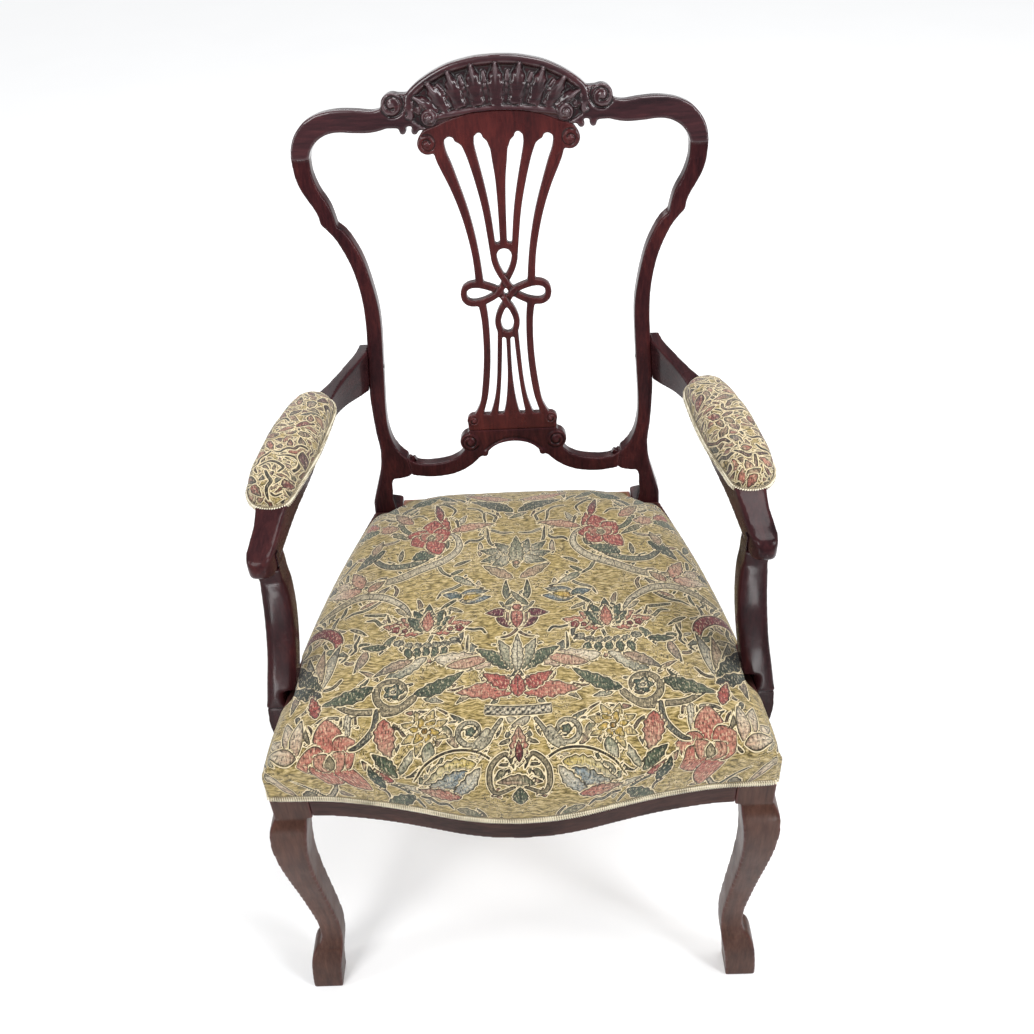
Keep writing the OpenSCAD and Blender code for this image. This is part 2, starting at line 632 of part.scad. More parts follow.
pad_outline = turned(loop([[206.5, 96], [214, 115], [229, 123], [244, 116], [255, 90], [265, 50],
                           [272, 5], [277, -35], [276, -60], [265, -79], [247, -84], [233, -77],
                           [226.5, -52], [218, -12], [212, 30], [208, 66]], 3));
pad_mid = [243, 20];
function pad_ring(k, out, z) =
    [for (q = grown(pad_outline, out)) let (p = pad_mid + (q - pad_mid) * k) [p[0], p[1], z]];
function pad_rise(k) = pad_crown * pow(1 - pow(k, 2.4), 0.6);
pad_steps = [0.99, 0.95, 0.88, 0.78, 0.62, 0.4, 0.12];
module arm_pad_right() {
    color([0.80, 0.76, 0.66]) through(concat([pad_ring(0.985, 0, 650.2)],
        [for (k = pad_steps) pad_ring(k * 0.985, 0, 651.5 + pad_rise(k))]));
}
module arm_pad_left() {
    mirror([1, 0, 0]) arm_pad_right();
}
function pad_rings(out) = concat([pad_ring(1, out, 645), pad_ring(1, out, 651)],
    [for (k = pad_steps) pad_ring(k, out, 651.8 + out + pad_rise(k))]);
module arm_pad_cover_right() {
    color([0.72, 0.66, 0.48]) shell(pad_rings(0.3 + cloth_t), pad_rings(0.3));
}
module arm_pad_cover_left() {
    mirror([1, 0, 0]) arm_pad_cover_right();
}
module arm_pad_gimp_right() {
    color([0.85, 0.80, 0.62]) translate([0, 0, 643]) linear_extrude(8) difference() {
        polygon(grown(pad_outline, 0.8 + cloth_t + 2));
        polygon(grown(pad_outline, 0.8 + cloth_t));
    }
}
module arm_pad_gimp_left() {
    mirror([1, 0, 0]) arm_pad_gimp_right();
}

front_leg_left();
front_leg_right();
back_post_left();
back_post_right();
crest_rail();
back_splat();
lower_back_rail();
front_seat_rail();
side_seat_rail_left();
side_seat_rail_right();
back_seat_rail();
corner_block_front_left();
corner_block_front_right();
corner_block_back_left();
corner_block_back_right();
corner_block_screws();
seat_frame_dowels();
back_frame_dowels();
seat_webbing_long();
seat_webbing_cross();
seat_hessian();
seat_stuffing();
seat_cover();
seat_gimp();
arm_left();
arm_right();
arm_support_left();
arm_support_right();
arm_pad_left();
arm_pad_right();
arm_pad_cover_left();
arm_pad_cover_right();
arm_pad_gimp_left();
arm_pad_gimp_right();
arm_screws();
arm_support_screws();
arm_support_dowels();
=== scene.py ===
"""Wooden armchair: carved mahogany frame, tapestry seat and padded arms."""

import math

import bmesh
import bpy
import numpy as np
from mathutils import Matrix, Vector


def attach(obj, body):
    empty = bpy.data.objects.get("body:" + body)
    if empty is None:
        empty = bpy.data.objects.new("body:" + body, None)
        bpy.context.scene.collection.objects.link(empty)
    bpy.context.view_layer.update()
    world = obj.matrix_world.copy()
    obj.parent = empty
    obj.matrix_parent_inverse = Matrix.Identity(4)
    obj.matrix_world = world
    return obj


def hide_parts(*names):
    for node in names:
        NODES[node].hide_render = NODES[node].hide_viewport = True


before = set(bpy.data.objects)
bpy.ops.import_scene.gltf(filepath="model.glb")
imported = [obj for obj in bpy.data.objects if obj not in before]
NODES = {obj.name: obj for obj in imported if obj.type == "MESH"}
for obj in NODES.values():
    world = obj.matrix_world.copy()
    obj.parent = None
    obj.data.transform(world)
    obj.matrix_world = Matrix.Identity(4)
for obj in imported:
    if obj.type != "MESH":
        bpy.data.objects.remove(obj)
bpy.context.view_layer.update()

MM = 0.001
TILT = math.radians(9.65)
BACK_FOOT = np.array([0.0, 188.0, 470.0])       # a point on the front plane of the back
BACK_UP = np.array([0.0, math.sin(TILT), math.cos(TILT)])
BACK_FRONT = np.array([0.0, -math.cos(TILT), math.sin(TILT)])
EAR_JOINT = 886.0                                # height where the crest meets the posts


# ---- mesh helpers -----------------------------------------------------------

def link(name, mesh):
    ob = bpy.data.objects.new(name, mesh)
    bpy.context.scene.collection.objects.link(ob)
    return ob


def mesh_from(name, verts_mm, faces):
    me = bpy.data.meshes.new(name)
    me.from_pydata([tuple(v) for v in np.asarray(verts_mm, float) * MM], [], faces)
    me.update()
    return link(name, me)


def baked(ob):
    """Applies every modifier of ob, keeping the object."""
    bpy.context.view_layer.update()
    dep = bpy.context.evaluated_depsgraph_get()
    me = bpy.data.meshes.new_from_object(ob.evaluated_get(dep))
    ob.modifiers.clear()
    old = ob.data
    ob.data = me
    bpy.data.meshes.remove(old)
    return ob


def coords(ob):
    co = np.empty(len(ob.data.vertices) * 3)
    ob.data.vertices.foreach_get("co", co)
    return co.reshape(-1, 3) / MM


def set_coords(ob, co):
    ob.data.vertices.foreach_set("co", (co * MM).ravel())
    ob.data.update()


def normals(ob):
    n = np.empty(len(ob.data.vertices) * 3)
    ob.data.vertex_normals.foreach_get("vector", n)
    return n.reshape(-1, 3)


def smooth_shade(ob):
    ob.data.polygons.foreach_set("use_smooth", [True] * len(ob.data.polygons))
    ob.data.update()


def edges_of(ob):
    e = np.empty(len(ob.data.edges) * 2, int)
    ob.data.edges.foreach_get("vertices", e)
    return e.reshape(-1, 2)


def neighbour_mean(values, edges, count):
    total = np.zeros_like(values)
    np.add.at(total, edges[:, 0], values[edges[:, 1]])
    np.add.at(total, edges[:, 1], values[edges[:, 0]])
    return total / np.maximum(count, 1)[:, None]


def relax(ob, rounds, weight=0.5, mask=None):
    co, e = coords(ob), edges_of(ob)
    count = np.bincount(e.ravel(), minlength=len(co))
    for _ in range(rounds):
        pull = weight * (neighbour_mean(co, e, count) - co)
        co = co + (pull if mask is None else pull * mask[:, None])
    set_coords(ob, co)


def float_attr(ob, name, values):
    a = ob.data.attributes.new(name, "FLOAT", "POINT")
    a.data.foreach_set("value", np.asarray(values, np.float32))


def vector_attr(ob, name, values):
    a = ob.data.attributes.new(name, "FLOAT_VECTOR", "POINT")
    a.data.foreach_set("vector", np.asarray(values, np.float32).ravel())


def colour_attr(ob, name, values):
    a = ob.data.attributes.new(name, "FLOAT_COLOR", "POINT")
    full = np.ones((len(values), 4), np.float32)
    full[:, :3] = values
    a.data.foreach_set("color", full.ravel())


def painted_light_relief_attr(ob, scale=0.35):
    """Stores how far each point stands proud (+) or lies in a hollow (-), for painted highlight and
    painted shade in the materials.
    """
    co, e, n = coords(ob), edges_of(ob), normals(ob)
    count = np.bincount(e.ravel(), minlength=len(co))
    lap = ((co - neighbour_mean(co, e, count)) * n).sum(1)[:, None]
    for _ in range(3):
        lap = 0.5 * lap + 0.5 * neighbour_mean(lap, e, count)
    float_attr(ob, "painted_light_relief", np.clip(lap[:, 0] / scale, -1, 1))


def even_mesh(ob, voxel):
    m = ob.modifiers.new("even", "REMESH")
    m.mode = "VOXEL"
    m.voxel_size = voxel * MM
    return baked(ob)


def remeshed(node, voxel, rounds):
    """A closed even mesh of a CAD node, with its arrises eased."""
    ob = link("wood_" + node, NODES[node].data.copy())
    ob.data.materials.clear()
    even_mesh(ob, voxel)
    relax(ob, rounds)
    return ob


def cut_at(ob, name, plane_mm, normal):
    """Copy of ob kept on the side the normal points to, with the cut closed."""
    bm = bmesh.new()
    bm.from_mesh(ob.data)
    got = bmesh.ops.bisect_plane(bm, geom=bm.verts[:] + bm.edges[:] + bm.faces[:],
                                 plane_co=Vector(plane_mm) * MM, plane_no=normal,
                                 clear_inner=True)
    rim = [g for g in got["geom_cut"] if isinstance(g, bmesh.types.BMEdge)]
    bmesh.ops.holes_fill(bm, edges=rim, sides=0)
    for e in rim:
        e.smooth = False
    me = bpy.data.meshes.new(name)
    bm.to_mesh(me)
    bm.free()
    return link(name, me)


def joined_back():
    """Crest and posts worked as one surface, so their joints run through flush."""
    whole = bmesh.new()
    for node in ("crest_rail", "back_post_left", "back_post_right"):
        whole.from_mesh(NODES[node].data)
    me = bpy.data.meshes.new("back_frame")
    whole.to_mesh(me)
    whole.free()
    ob = link("back_frame", me)
    even_mesh(ob, 1.2)
    co = coords(ob)
    at_lug = (np.abs(co[:, 0]) < 166) & (co[:, 2] > 468) & (co[:, 2] < 520)
    relax(ob, 13, 0.5, np.where(at_lug, 0.25, 1.0))
    crest = cut_at(ob, "wood_crest_rail", (0, 0, EAR_JOINT), (0, 0, 1))
    low = cut_at(ob, "low", (0, 0, EAR_JOINT), (0, 0, -1))
    left = cut_at(low, "wood_back_post_left", (0, 0, 0), (-1, 0, 0))
    right = cut_at(low, "wood_back_post_right", (0, 0, 0), (1, 0, 0))
    bpy.data.objects.remove(ob)
    bpy.data.objects.remove(low)
    return crest, left, right


def stand_for(ob, material, slot, *nodes):
    smooth_shade(ob)
    ob.data.materials.clear()
    ob.data.materials.append(material)
    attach(ob, "root")
    if nodes:
        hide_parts(*nodes)
    return ob


# ---- curves -----------------------------------------------------------------

def through_points(points, n=6, closed=False):
    p = np.asarray(points, float)
    if closed:
        q = np.vstack([p[-1:], p, p[:2]])
    else:
        q = np.vstack([2 * p[0] - p[1], p, 2 * p[-1] - p[-2]])
    out = []
    for i in range(len(q) - 3):
        a, b, c, d = q[i:i + 4]
        for t in np.arange(n) / n:
            out.append(0.5 * (2 * b + (c - a) * t + (2 * a - 5 * b + 4 * c - d) * t * t
                              + (3 * b - a - 3 * c + d) * t ** 3))
    if not closed:
        out.append(p[-1])
    return np.array(out)


def mirrored(points):
    """Half outline from the middle (x = 0) outwards, made whole."""
    p = np.asarray(points, float)
    q = p[p[:, 0] > 0.01][::-1] * [-1, 1]
    return np.vstack([p, q])


def polyline_distance(xy, line):
    """Distance to a polyline, and how far along it the nearest point is."""
    line = np.asarray(line, float)
    best = np.full(len(xy), 1e9)
    along = np.zeros(len(xy))
    run = 0.0
    for a, b in zip(line[:-1], line[1:]):
        ab = b - a
        length = math.hypot(*ab)
        if length < 1e-6:
            continue
        t = np.clip(((xy - a) @ ab) / length ** 2, 0, 1)
        gap = xy - (a + t[:, None] * ab)
        d = np.hypot(gap[:, 0], gap[:, 1])
        near = d < best
        best = np.where(near, d, best)
        along = np.where(near, run + t * length, along)
        run += length
    return best, along / run


def inside(xy, poly):
    hit = np.zeros(len(xy), bool)
    x, y = xy[:, 0], xy[:, 1]
    q = np.vstack([poly, poly[:1]])
    for (x0, y0), (x1, y1) in zip(q[:-1], q[1:]):
        if y0 == y1:
            continue
        cross = ((y0 > y) != (y1 > y)) & (x < (x1 - x0) * (y - y0) / (y1 - y0) + x0)
        hit ^= cross
    return hit


def step(a, b, x):
    """Smooth rise from 0 at a to 1 at b."""
    t = np.clip((x - a) / (b - a), 0, 1)
    return t * t * (3 - 2 * t)


def bell(x):
    """Bump of height 1 around x = 0."""
    return np.exp(-x ** 2)


def half_round(x):
    """Half circle of height 1 over x = -1 to 1."""
    return np.sqrt(np.clip(1 - x ** 2, 0, 1))


# ---- materials --------------------------------------------------------------

class Graph:
    """Short names for building a node material."""

    def __init__(self, name):
        self.mat = bpy.data.materials.new(name)
        self.mat.use_nodes = True
        self.t = self.mat.node_tree
        self.t.nodes.clear()
        self.out = self.t.nodes.new("ShaderNodeOutputMaterial")
        self.bsdf = self.t.nodes.new("ShaderNodeBsdfPrincipled")
        self.t.links.new(self.bsdf.outputs[0], self.out.inputs[0])

    def put(self, socket, value):
        if isinstance(value, bpy.types.NodeSocket):
            self.t.links.new(value, socket)
        elif isinstance(value, (tuple, list)) and len(value) == 3 and socket.type == "RGBA":
            socket.default_value = (*value, 1)
        else:
            socket.default_value = value

    def node(self, kind, **inputs):
        n = self.t.nodes.new(kind)
        for k, v in inputs.items():
            self.put(n.inputs[k.replace("_", " ")], v)
        return n

    def where(self, attr=None):
        if attr:
            n = self.t.nodes.new("ShaderNodeAttribute")
            n.attribute_name = attr
            return n
        return self.t.nodes.new("ShaderNodeTexCoord").outputs["Object"]

    def scaled(self, vector, scale, rotation=(0, 0, 0)):
        n = self.t.nodes.new("ShaderNodeMapping")
        self.put(n.inputs["Vector"], vector)
        n.inputs["Scale"].default_value = scale
        n.inputs["Rotation"].default_value = rotation
        return n.outputs[0]

    def noise(self, vector, scale, detail=4, rough=0.55, distort=0.0):
        n = self.node("ShaderNodeTexNoise", Scale=scale, Detail=detail, Roughness=rough,
                      Distortion=distort)
        self.put(n.inputs["Vector"], vector)
        return n.outputs["Fac"]

    def math(self, op, a, b=0.0):
        n = self.t.nodes.new("ShaderNodeMath")
        n.operation = op
        self.put(n.inputs[0], a)
        self.put(n.inputs[1], b)
        return n.outputs[0]

    def parts(self, vector):
        n = self.t.nodes.new("ShaderNodeSeparateXYZ")
        self.put(n.inputs[0], vector)
        return n.outputs

    def times(self, a, b):
        return self.math("MULTIPLY", a, b)

    def plus(self, a, b):
        return self.math("ADD", a, b)

    def minus(self, a, b):
        return self.math("SUBTRACT", a, b)

    def most(self, a, b):
        return self.math("MAXIMUM", a, b)

    def size(self, a):
        return self.math("ABSOLUTE", a)

    def sine(self, a):
        return self.math("SINE", a)

    def remap(self, value, a, b, c=0.0, d=1.0):
        n = self.t.nodes.new("ShaderNodeMapRange")
        n.interpolation_type = "SMOOTHSTEP"
        for socket, v in zip(n.inputs[:5], (value, a, b, c, d)):
            self.put(socket, v)
        return n.outputs[0]

    def mix(self, fac, a, b, kind="MIX"):
        n = self.t.nodes.new("ShaderNodeMix")
        n.data_type = "RGBA"
        n.blend_type = kind
        self.put(n.inputs[0], fac)
        self.put(n.inputs[6], a)
        self.put(n.inputs[7], b)
        return n.outputs[2]

    def ramp(self, value, *stops):
        n = self.t.nodes.new("ShaderNodeValToRGB")
        self.put(n.inputs[0], value)
        el = n.color_ramp.elements
        el[0].position, el[0].color = stops[0][0], (*stops[0][1], 1)
        el[1].position, el[1].color = stops[-1][0], (*stops[-1][1], 1)
        for p, c in stops[1:-1]:
            e = el.new(p)
            e.color = (*c, 1)
        return n.outputs[0]

    def bump(self, height, strength, distance, normal=None):
        n = self.node("ShaderNodeBump", Strength=strength, Distance=distance, Height=height)
        if normal is not None:
            self.put(n.inputs["Normal"], normal)
        return n.outputs[0]

    def finish(self, **inputs):
        for k, v in inputs.items():
            self.put(self.bsdf.inputs[k.replace("_", " ")], v)
        return self.mat


def wood(name, deep, body, light, along, rough=(0.16, 0.32), coat=0.12, pores=0.35, shine=0.22,
         shadow=0.75, ridge=0.35):
    """Polished timber: figure, streaks and pores run along one axis of the chair, with painted shade
    in hollows and a painted highlight on proud parts.
    """
    g = Graph(name)
    at = g.where()
    stretch = {"x": (1, 9, 9), "y": (9, 1, 9), "z": (9, 9, 1)}[along]
    long_ = g.scaled(at, stretch)
    figure = g.noise(long_, 7, 5, 0.6, 0.6)
    streak = g.noise(long_, 38, 6, 0.65)
    pore = g.noise(g.scaled(at, tuple(v * (1 if v == 1 else 2.6) for v in stretch)), 130, 3, 0.7)
    cloud = g.noise(at, 6, 3)
    tone = g.plus(g.times(figure, 0.55), g.times(streak, 0.45))
    tone = g.plus(tone, g.times(g.minus(cloud, 0.5), 0.35))
    col = g.ramp(tone, (0.33, deep), (0.52, body), (0.72, light))
    dark_pore = g.remap(pore, 0.60, 0.70)
    col = g.mix(g.times(dark_pore, pores), col, tuple(v * 0.35 for v in deep))
    # painted shade: hollows and joints darkened (shadow); painted highlight: proud parts lightened
    # towards a pale grey (ridge)
    painted_light_relief = g.where("painted_light_relief").outputs["Fac"]
    hollow = g.remap(painted_light_relief, -0.03, -0.45)
    proud = g.remap(painted_light_relief, 0.10, 0.55)
    col = g.mix(g.times(hollow, shadow), col, tuple(v * 0.22 for v in deep))
    col = g.mix(g.times(proud, ridge), col,
                (light[0] * 1.4, light[0] * ridge * 1.3, light[0] * ridge * 1.4))
    smear = g.noise(at, 28, 4, 0.6)
    r = g.remap(smear, 0.3, 0.75, rough[0], rough[1])
    r = g.plus(r, g.times(hollow, 0.2))
    h = g.plus(g.times(streak, 0.5), g.times(dark_pore, -0.35))
    soft = g.bump(g.noise(at, 45, 2), 0.10, 0.0012)
    n = g.bump(h, 0.10, 0.0004, soft)
    return g.finish(Base_Color=col, Roughness=r, Normal=n, Coat_Weight=coat, Coat_Roughness=0.09,
                    Specular_IOR_Level=shine, IOR=1.45)


MAHOGANY = wood("mahogany_upright", (0.012, 0.0035, 0.0050), (0.036, 0.0085, 0.0100),
                (0.078, 0.0170, 0.0160), "z", (0.18, 0.30), 0.10, 0.35, 0.13)
MAHOGANY_DARK = wood("mahogany_support", (0.010, 0.0030, 0.0040), (0.027, 0.0066, 0.0082),
                     (0.052, 0.0120, 0.0125), "z", (0.20, 0.30), 0.08, 0.35, 0.07)
MAHOGANY_RED = wood("mahogany_splat", (0.024, 0.0055, 0.0065), (0.060, 0.0110, 0.0110),
                    (0.104, 0.0190, 0.0165), "z", (0.24, 0.4), 0.12)
# the crest: strong painted shade in its hollows and a strong painted highlight on its proud carving
MAHOGANY_CREST = wood("mahogany_crest", (0.016, 0.0060, 0.0080), (0.042, 0.0125, 0.0155),
                      (0.085, 0.0230, 0.0250), "x", (0.15, 0.26), 0.30, 0.2, 0.36, 0.75, 0.75)
MAHOGANY_RAIL = wood("mahogany_rail", (0.016, 0.0065, 0.0055), (0.040, 0.0160, 0.0125),
                     (0.072, 0.0290, 0.0210), "x", (0.3, 0.45), 0.03, 0.35, 0.10)
MAHOGANY_SIDE = wood("mahogany_side", (0.016, 0.0065, 0.0055), (0.040, 0.0160, 0.0125),
                     (0.072, 0.0290, 0.0210), "y", (0.3, 0.45), 0.03, 0.35, 0.10)
MAHOGANY_ARM = wood("mahogany_arm", (0.011, 0.0045, 0.0058), (0.032, 0.0105, 0.0120),
                    (0.060, 0.0180, 0.0180), "y", (0.22, 0.34), 0.12, 0.35, 0.07)
MAHOGANY_LEG = wood("mahogany_leg", (0.024, 0.0110, 0.0085), (0.060, 0.0270, 0.0190),
                    (0.100, 0.0460, 0.0320), "z", (0.30, 0.44), 0.04, 0.35, 0.12)
BEECH = wood("beech", (0.20, 0.105, 0.045), (0.33, 0.19, 0.09), (0.46, 0.29, 0.15), "x",
             (0.4, 0.55), 0.0)
BIRCH = wood("birch", (0.34, 0.22, 0.11), (0.48, 0.34, 0.19), (0.60, 0.45, 0.28), "z",
             (0.55, 0.7), 0.0, 0.2)


def steel():
    g = Graph("old_steel")
    at = g.where()
    tarnish = g.noise(at, 160, 5, 0.65)
    turned = g.noise(g.scaled(at, (1, 1, 14)), 90, 3)
    col = g.ramp(tarnish, (0.35, (0.09, 0.075, 0.06)), (0.6, (0.30, 0.28, 0.26)))
    return g.finish(Base_Color=col, Metallic=1.0, Roughness=g.remap(tarnish, 0.3, 0.7, 0.6, 0.32),
                    Normal=g.bump(turned, 0.2, 0.0003))


def woven(name, dark, light, threads, rough=0.85, ribs=0.0):
    """Plain weave of loose natural yarn, in the cloth's own coordinates."""
    g = Graph(name)
    at = g.where("cloth").outputs["Vector"]
    wobble = g.noise(at, 60, 2)
    parts = g.parts(at)
    u = g.plus(parts[0], g.times(wobble, 0.0006))
    v = g.plus(parts[1], g.times(wobble, 0.0006))
    su = g.sine(g.times(u, threads * math.pi))
    sv = g.sine(g.times(v, threads * math.pi))
    over = g.times(su, sv)
    warp = g.size(su)
    weft = g.size(sv)
    top = g.remap(over, -0.25, 0.25)
    h = g.plus(g.times(warp, top),
               g.times(weft, g.minus(1.0, top)))
    slub = g.noise(g.scaled(at, (1, 7, 1)), 120, 4, 0.6)
    # colour follows the weave height: painted shade low between the threads, plus the slub tone of
    # the yarn
    tone = g.plus(g.times(h, 0.55), g.times(slub, 0.55))
    col = g.ramp(tone, (0.3, dark), (0.85, light))
    if ribs:
        stripe = g.remap(g.size(g.minus(g.size(parts[0]), ribs)), 0.0026, 0.0014)
        col = g.mix(g.times(stripe, 0.8), col, (0.16, 0.045, 0.03))
    return g.finish(Base_Color=col, Roughness=rough, Normal=g.bump(h, 0.7, 0.0008),
                    Sheen_Weight=0.3, Sheen_Roughness=0.5, Specular_IOR_Level=0.2)


def yarn(name, dark, light):
    """Cream cotton cord of the gimp: twisted plies across each strand."""
    g = Graph(name)
    at = g.where("cloth").outputs["Vector"]
    parts = g.parts(at)
    ply = g.sine(g.plus(g.times(parts[0], 2600.0),
                                g.times(parts[1], 3.14159)))
    dirt = g.noise(g.where(), 55, 4, 0.6)
    # tone: painted shade in the grooves of the twist, plus a random dirt tone
    tone = g.plus(g.times(ply, 0.22), dirt)
    col = g.ramp(tone, (0.22, tuple(v * 0.4 for v in dark)), (0.36, dark), (0.6, light))
    painted_light_relief = g.where("painted_light_relief").outputs["Fac"]
    # painted shade: darker where a strand lies deep in the plait, and on the heading tape behind it
    col = g.mix(g.remap(painted_light_relief, 0.1, -0.5, 0.0, 0.85), col, (0.16, 0.12, 0.06))
    return g.finish(Base_Color=col, Roughness=0.75, Normal=g.bump(ply, 0.6, 0.0004),
                    Sheen_Weight=0.4, Sheen_Roughness=0.4, Specular_IOR_Level=0.25)


def tapestry(name, tendrils=0.0):
    """Machine tapestry: a flecked ochre ground, filled motifs, dark and cream outlines."""
    g = Graph(name)
    cloth = g.where("cloth").outputs["Vector"]
    edge = g.where("edge").outputs["Fac"]
    vein = g.where("vein").outputs["Fac"]
    fill = g.where("fill").outputs["Color"]
    # ground: short wavy flecks of green, ochre and straw across the width
    wave = g.noise(cloth, 34, 2)
    bent = g.node("ShaderNodeVectorMath")
    bent.operation = "ADD"
    g.put(bent.inputs[0], cloth)
    lift = g.t.nodes.new("ShaderNodeCombineXYZ")
    g.put(lift.inputs[1], g.times(wave, 0.014))
    g.put(bent.inputs[1], lift.outputs[0])
    fleck = g.noise(g.scaled(bent.outputs[0], (1, 3.6, 1)), 112, 3, 0.6)
    fine = g.noise(g.scaled(cloth, (1, 3.0, 1)), 320, 3, 0.65)
    patch = g.noise(cloth, 13, 3)
    tone = g.plus(g.times(fleck, 0.8), g.times(fine, 0.2))
    ground = g.ramp(tone, (0.37, (0.10, 0.075, 0.030)), (0.45, (0.27, 0.215, 0.085)),
                    (0.53, (0.47, 0.38, 0.18)), (0.62, (0.66, 0.55, 0.33)))
    # couched tendrils: pairs of fine dark and cream threads wandering over the ground
    wander = g.noise(g.scaled(bent.outputs[0], (1, 1, 1), (0.7, 0.2, 0)), 46, 2, 0.5, 1.6)
    level = g.size(g.minus(g.math("FRACT", g.times(wander, 7.0)),
                                      0.5))
    patches = g.remap(g.noise(cloth, 21, 2), 0.44, 0.56)
    patches = g.most(patches, tendrils)
    cream_thread = g.times(g.remap(g.size(g.minus(level, 0.16)),
                                              0.075, 0.03), patches)
    dark_thread = g.times(g.remap(level, 0.085, 0.035), patches)
    ground = g.mix(g.times(cream_thread, 0.6), ground, (0.74, 0.64, 0.44))
    ground = g.mix(g.times(dark_thread, 0.8), ground, (0.07, 0.055, 0.035))
    tint = g.ramp(patch, (0.35, (0.95, 0.93, 0.80)), (0.65, (1.0, 1.0, 1.0)))
    ground = g.mix(1.0, ground, tint, "MULTIPLY")
    # motifs: wool shading runs in small strokes
    stroke = g.noise(g.scaled(bent.outputs[0], (1, 2.4, 1)), 190, 4, 0.65)
    shade = g.remap(stroke, 0.30, 0.70, 0.50, 1.20)
    grey = g.t.nodes.new("ShaderNodeCombineColor")
    for s in grey.inputs:
        g.put(s, shade)
    body = g.mix(1.0, fill, grey.outputs[0], "MULTIPLY")
    hatch = g.noise(g.scaled(bent.outputs[0], (2.6, 1, 1), (0, 0, 0.5)), 210, 3, 0.6)
    body = g.mix(g.times(g.remap(hatch, 0.45, 0.38), 0.75), body, (0.05, 0.045, 0.035))
    body = g.mix(g.times(g.remap(hatch, 0.55, 0.63), 0.65), body, (0.72, 0.62, 0.43))
    rim_shade = g.remap(edge, -3.2, -0.4, 0.0, 0.42)
    body = g.mix(rim_shade, body, (0.085, 0.075, 0.055))
    broken = g.noise(cloth, 240, 3, 0.6)
    body = g.mix(g.times(g.remap(broken, 0.60, 0.68), 0.5), body, (0.66, 0.58, 0.36))
    line = g.remap(g.size(vein), 0.75, 0.25)
    body = g.mix(g.times(line, g.remap(broken, 0.30, 0.5, 0.35, 0.95)), body,
                 (0.035, 0.033, 0.028))
    inner = g.remap(edge, 0.15, -0.15)
    col = g.mix(inner, ground, body)
    dark = g.remap(g.size(g.plus(edge, 0.05)), 0.85, 0.40)
    cream = g.remap(g.size(g.minus(edge, 1.05)), 0.65, 0.25)
    second = g.remap(g.size(g.minus(edge, 2.0)), 0.60, 0.15)
    col = g.mix(g.times(second, g.remap(broken, 0.38, 0.58, 0.75, 0.0)), col,
                (0.06, 0.052, 0.035))
    col = g.mix(g.times(cream, 0.9), col, (0.82, 0.73, 0.52))
    col = g.mix(g.times(dark, g.remap(broken, 0.40, 0.62, 0.95, 0.45)), col,
                (0.030, 0.027, 0.022))
    # ribbed weave: painted shade in the grooves between ribs, with a matching bump
    parts = g.parts(cloth)
    rib = g.sine(g.times(parts[1], 7200.0))
    pick = g.sine(g.times(parts[0], 5200.0))
    thread = g.plus(g.times(rib, 0.5), g.times(pick, 0.3))
    col = g.mix(0.10, col, g.ramp(thread, (0.0, (0.55, 0.55, 0.55)), (0.8, (1, 1, 1))), "MULTIPLY")
    deeper = g.t.nodes.new("ShaderNodeGamma")
    g.put(deeper.inputs[0], col)
    deeper.inputs[1].default_value = 1.24
    col = g.mix(1.0, deeper.outputs[0], (0.96, 0.94, 0.96), "MULTIPLY")
    raised = g.plus(g.times(inner, 0.8), g.times(stroke, 0.7))
    n = g.bump(raised, 0.35, 0.0009, g.bump(thread, 0.45, 0.0004))
    return g.finish(Base_Color=col, Roughness=0.88, Normal=n, Sheen_Weight=0.25,
                    Sheen_Roughness=0.5, Specular_IOR_Level=0.2)


def horsehair():
    g = Graph("horsehair")
    at = g.where()
    a = g.noise(g.scaled(at, (1, 6, 3), (0.3, 0.2, 0.8)), 150, 5, 0.7, 2.5)
    b = g.noise(g.scaled(at, (6, 1, 3), (0.1, 0.5, 0.2)), 170, 5, 0.7, 2.5)
    strand = g.most(a, b)
    col = g.ramp(strand, (0.42, (0.02, 0.014, 0.01)), (0.58, (0.13, 0.09, 0.06)),
                 (0.7, (0.27, 0.21, 0.15)))
    return g.finish(Base_Color=col, Roughness=0.8, Normal=g.bump(strand, 0.9, 0.0015))


STEEL = steel()
JUTE = woven("jute_webbing", (0.26, 0.17, 0.08), (0.58, 0.44, 0.26), 560, ribs=0.019)
HESSIAN = woven("hessian", (0.22, 0.145, 0.07), (0.52, 0.39, 0.22), 620)
GIMP = yarn("cream_gimp", (0.50, 0.42, 0.27), (0.88, 0.81, 0.64))
TAPESTRY = tapestry("tapestry")
PAD_TAPESTRY = tapestry("tapestry_pads", 1.0)
HAIR = horsehair()


# ---- carving ----------------------------------------------------------------

def on_back(co):
    """Chair points as x, height of the same point on the back's front plane, and depth."""
    rel = co - BACK_FOOT
    return (co[:, 0], 470 + (rel @ BACK_UP) * math.cos(TILT), rel @ BACK_FRONT)


def spiral(x, h, cx, cy, radius, turns=1.4, start=90.0, hand=1, groove=1.5, width=1.1):
    """Rolled scroll: a ridge winding in to a domed eye, as a height to add."""
    dx, dy = (x - cx) * hand, h - cy
    r = np.hypot(dx, dy)
    theta = (np.degrees(np.arctan2(dy, dx)) - start) % 360
    out = np.zeros(len(x))
    for k in range(int(math.ceil(turns)) + 1):
        w = (theta / 360 + k) / turns
        line = radius * (1 - 0.68 * np.clip(w, 0, 1))
        cut = groove * bell((r - line) / width)
        out = np.where(w <= 1.0, np.minimum(out, -cut), out)
    eye = radius * 0.30
    out += np.where(r < eye, 1.3 * half_round(r / eye), 0)
    out += np.where(r < radius, 1.4 * half_round(r / radius), 0)
    return np.where(r < radius + 1.5, out, 0)


TABLET_BOSS = (77, 925)                          # x and height on the back plane, each side
EAR_SCROLL = (118, 940)
SPLAT_SCROLLS = ((81.5, 896.5, 10.6, 60), (50.5, 554, 7.2, 300))    # x, height, radius, start
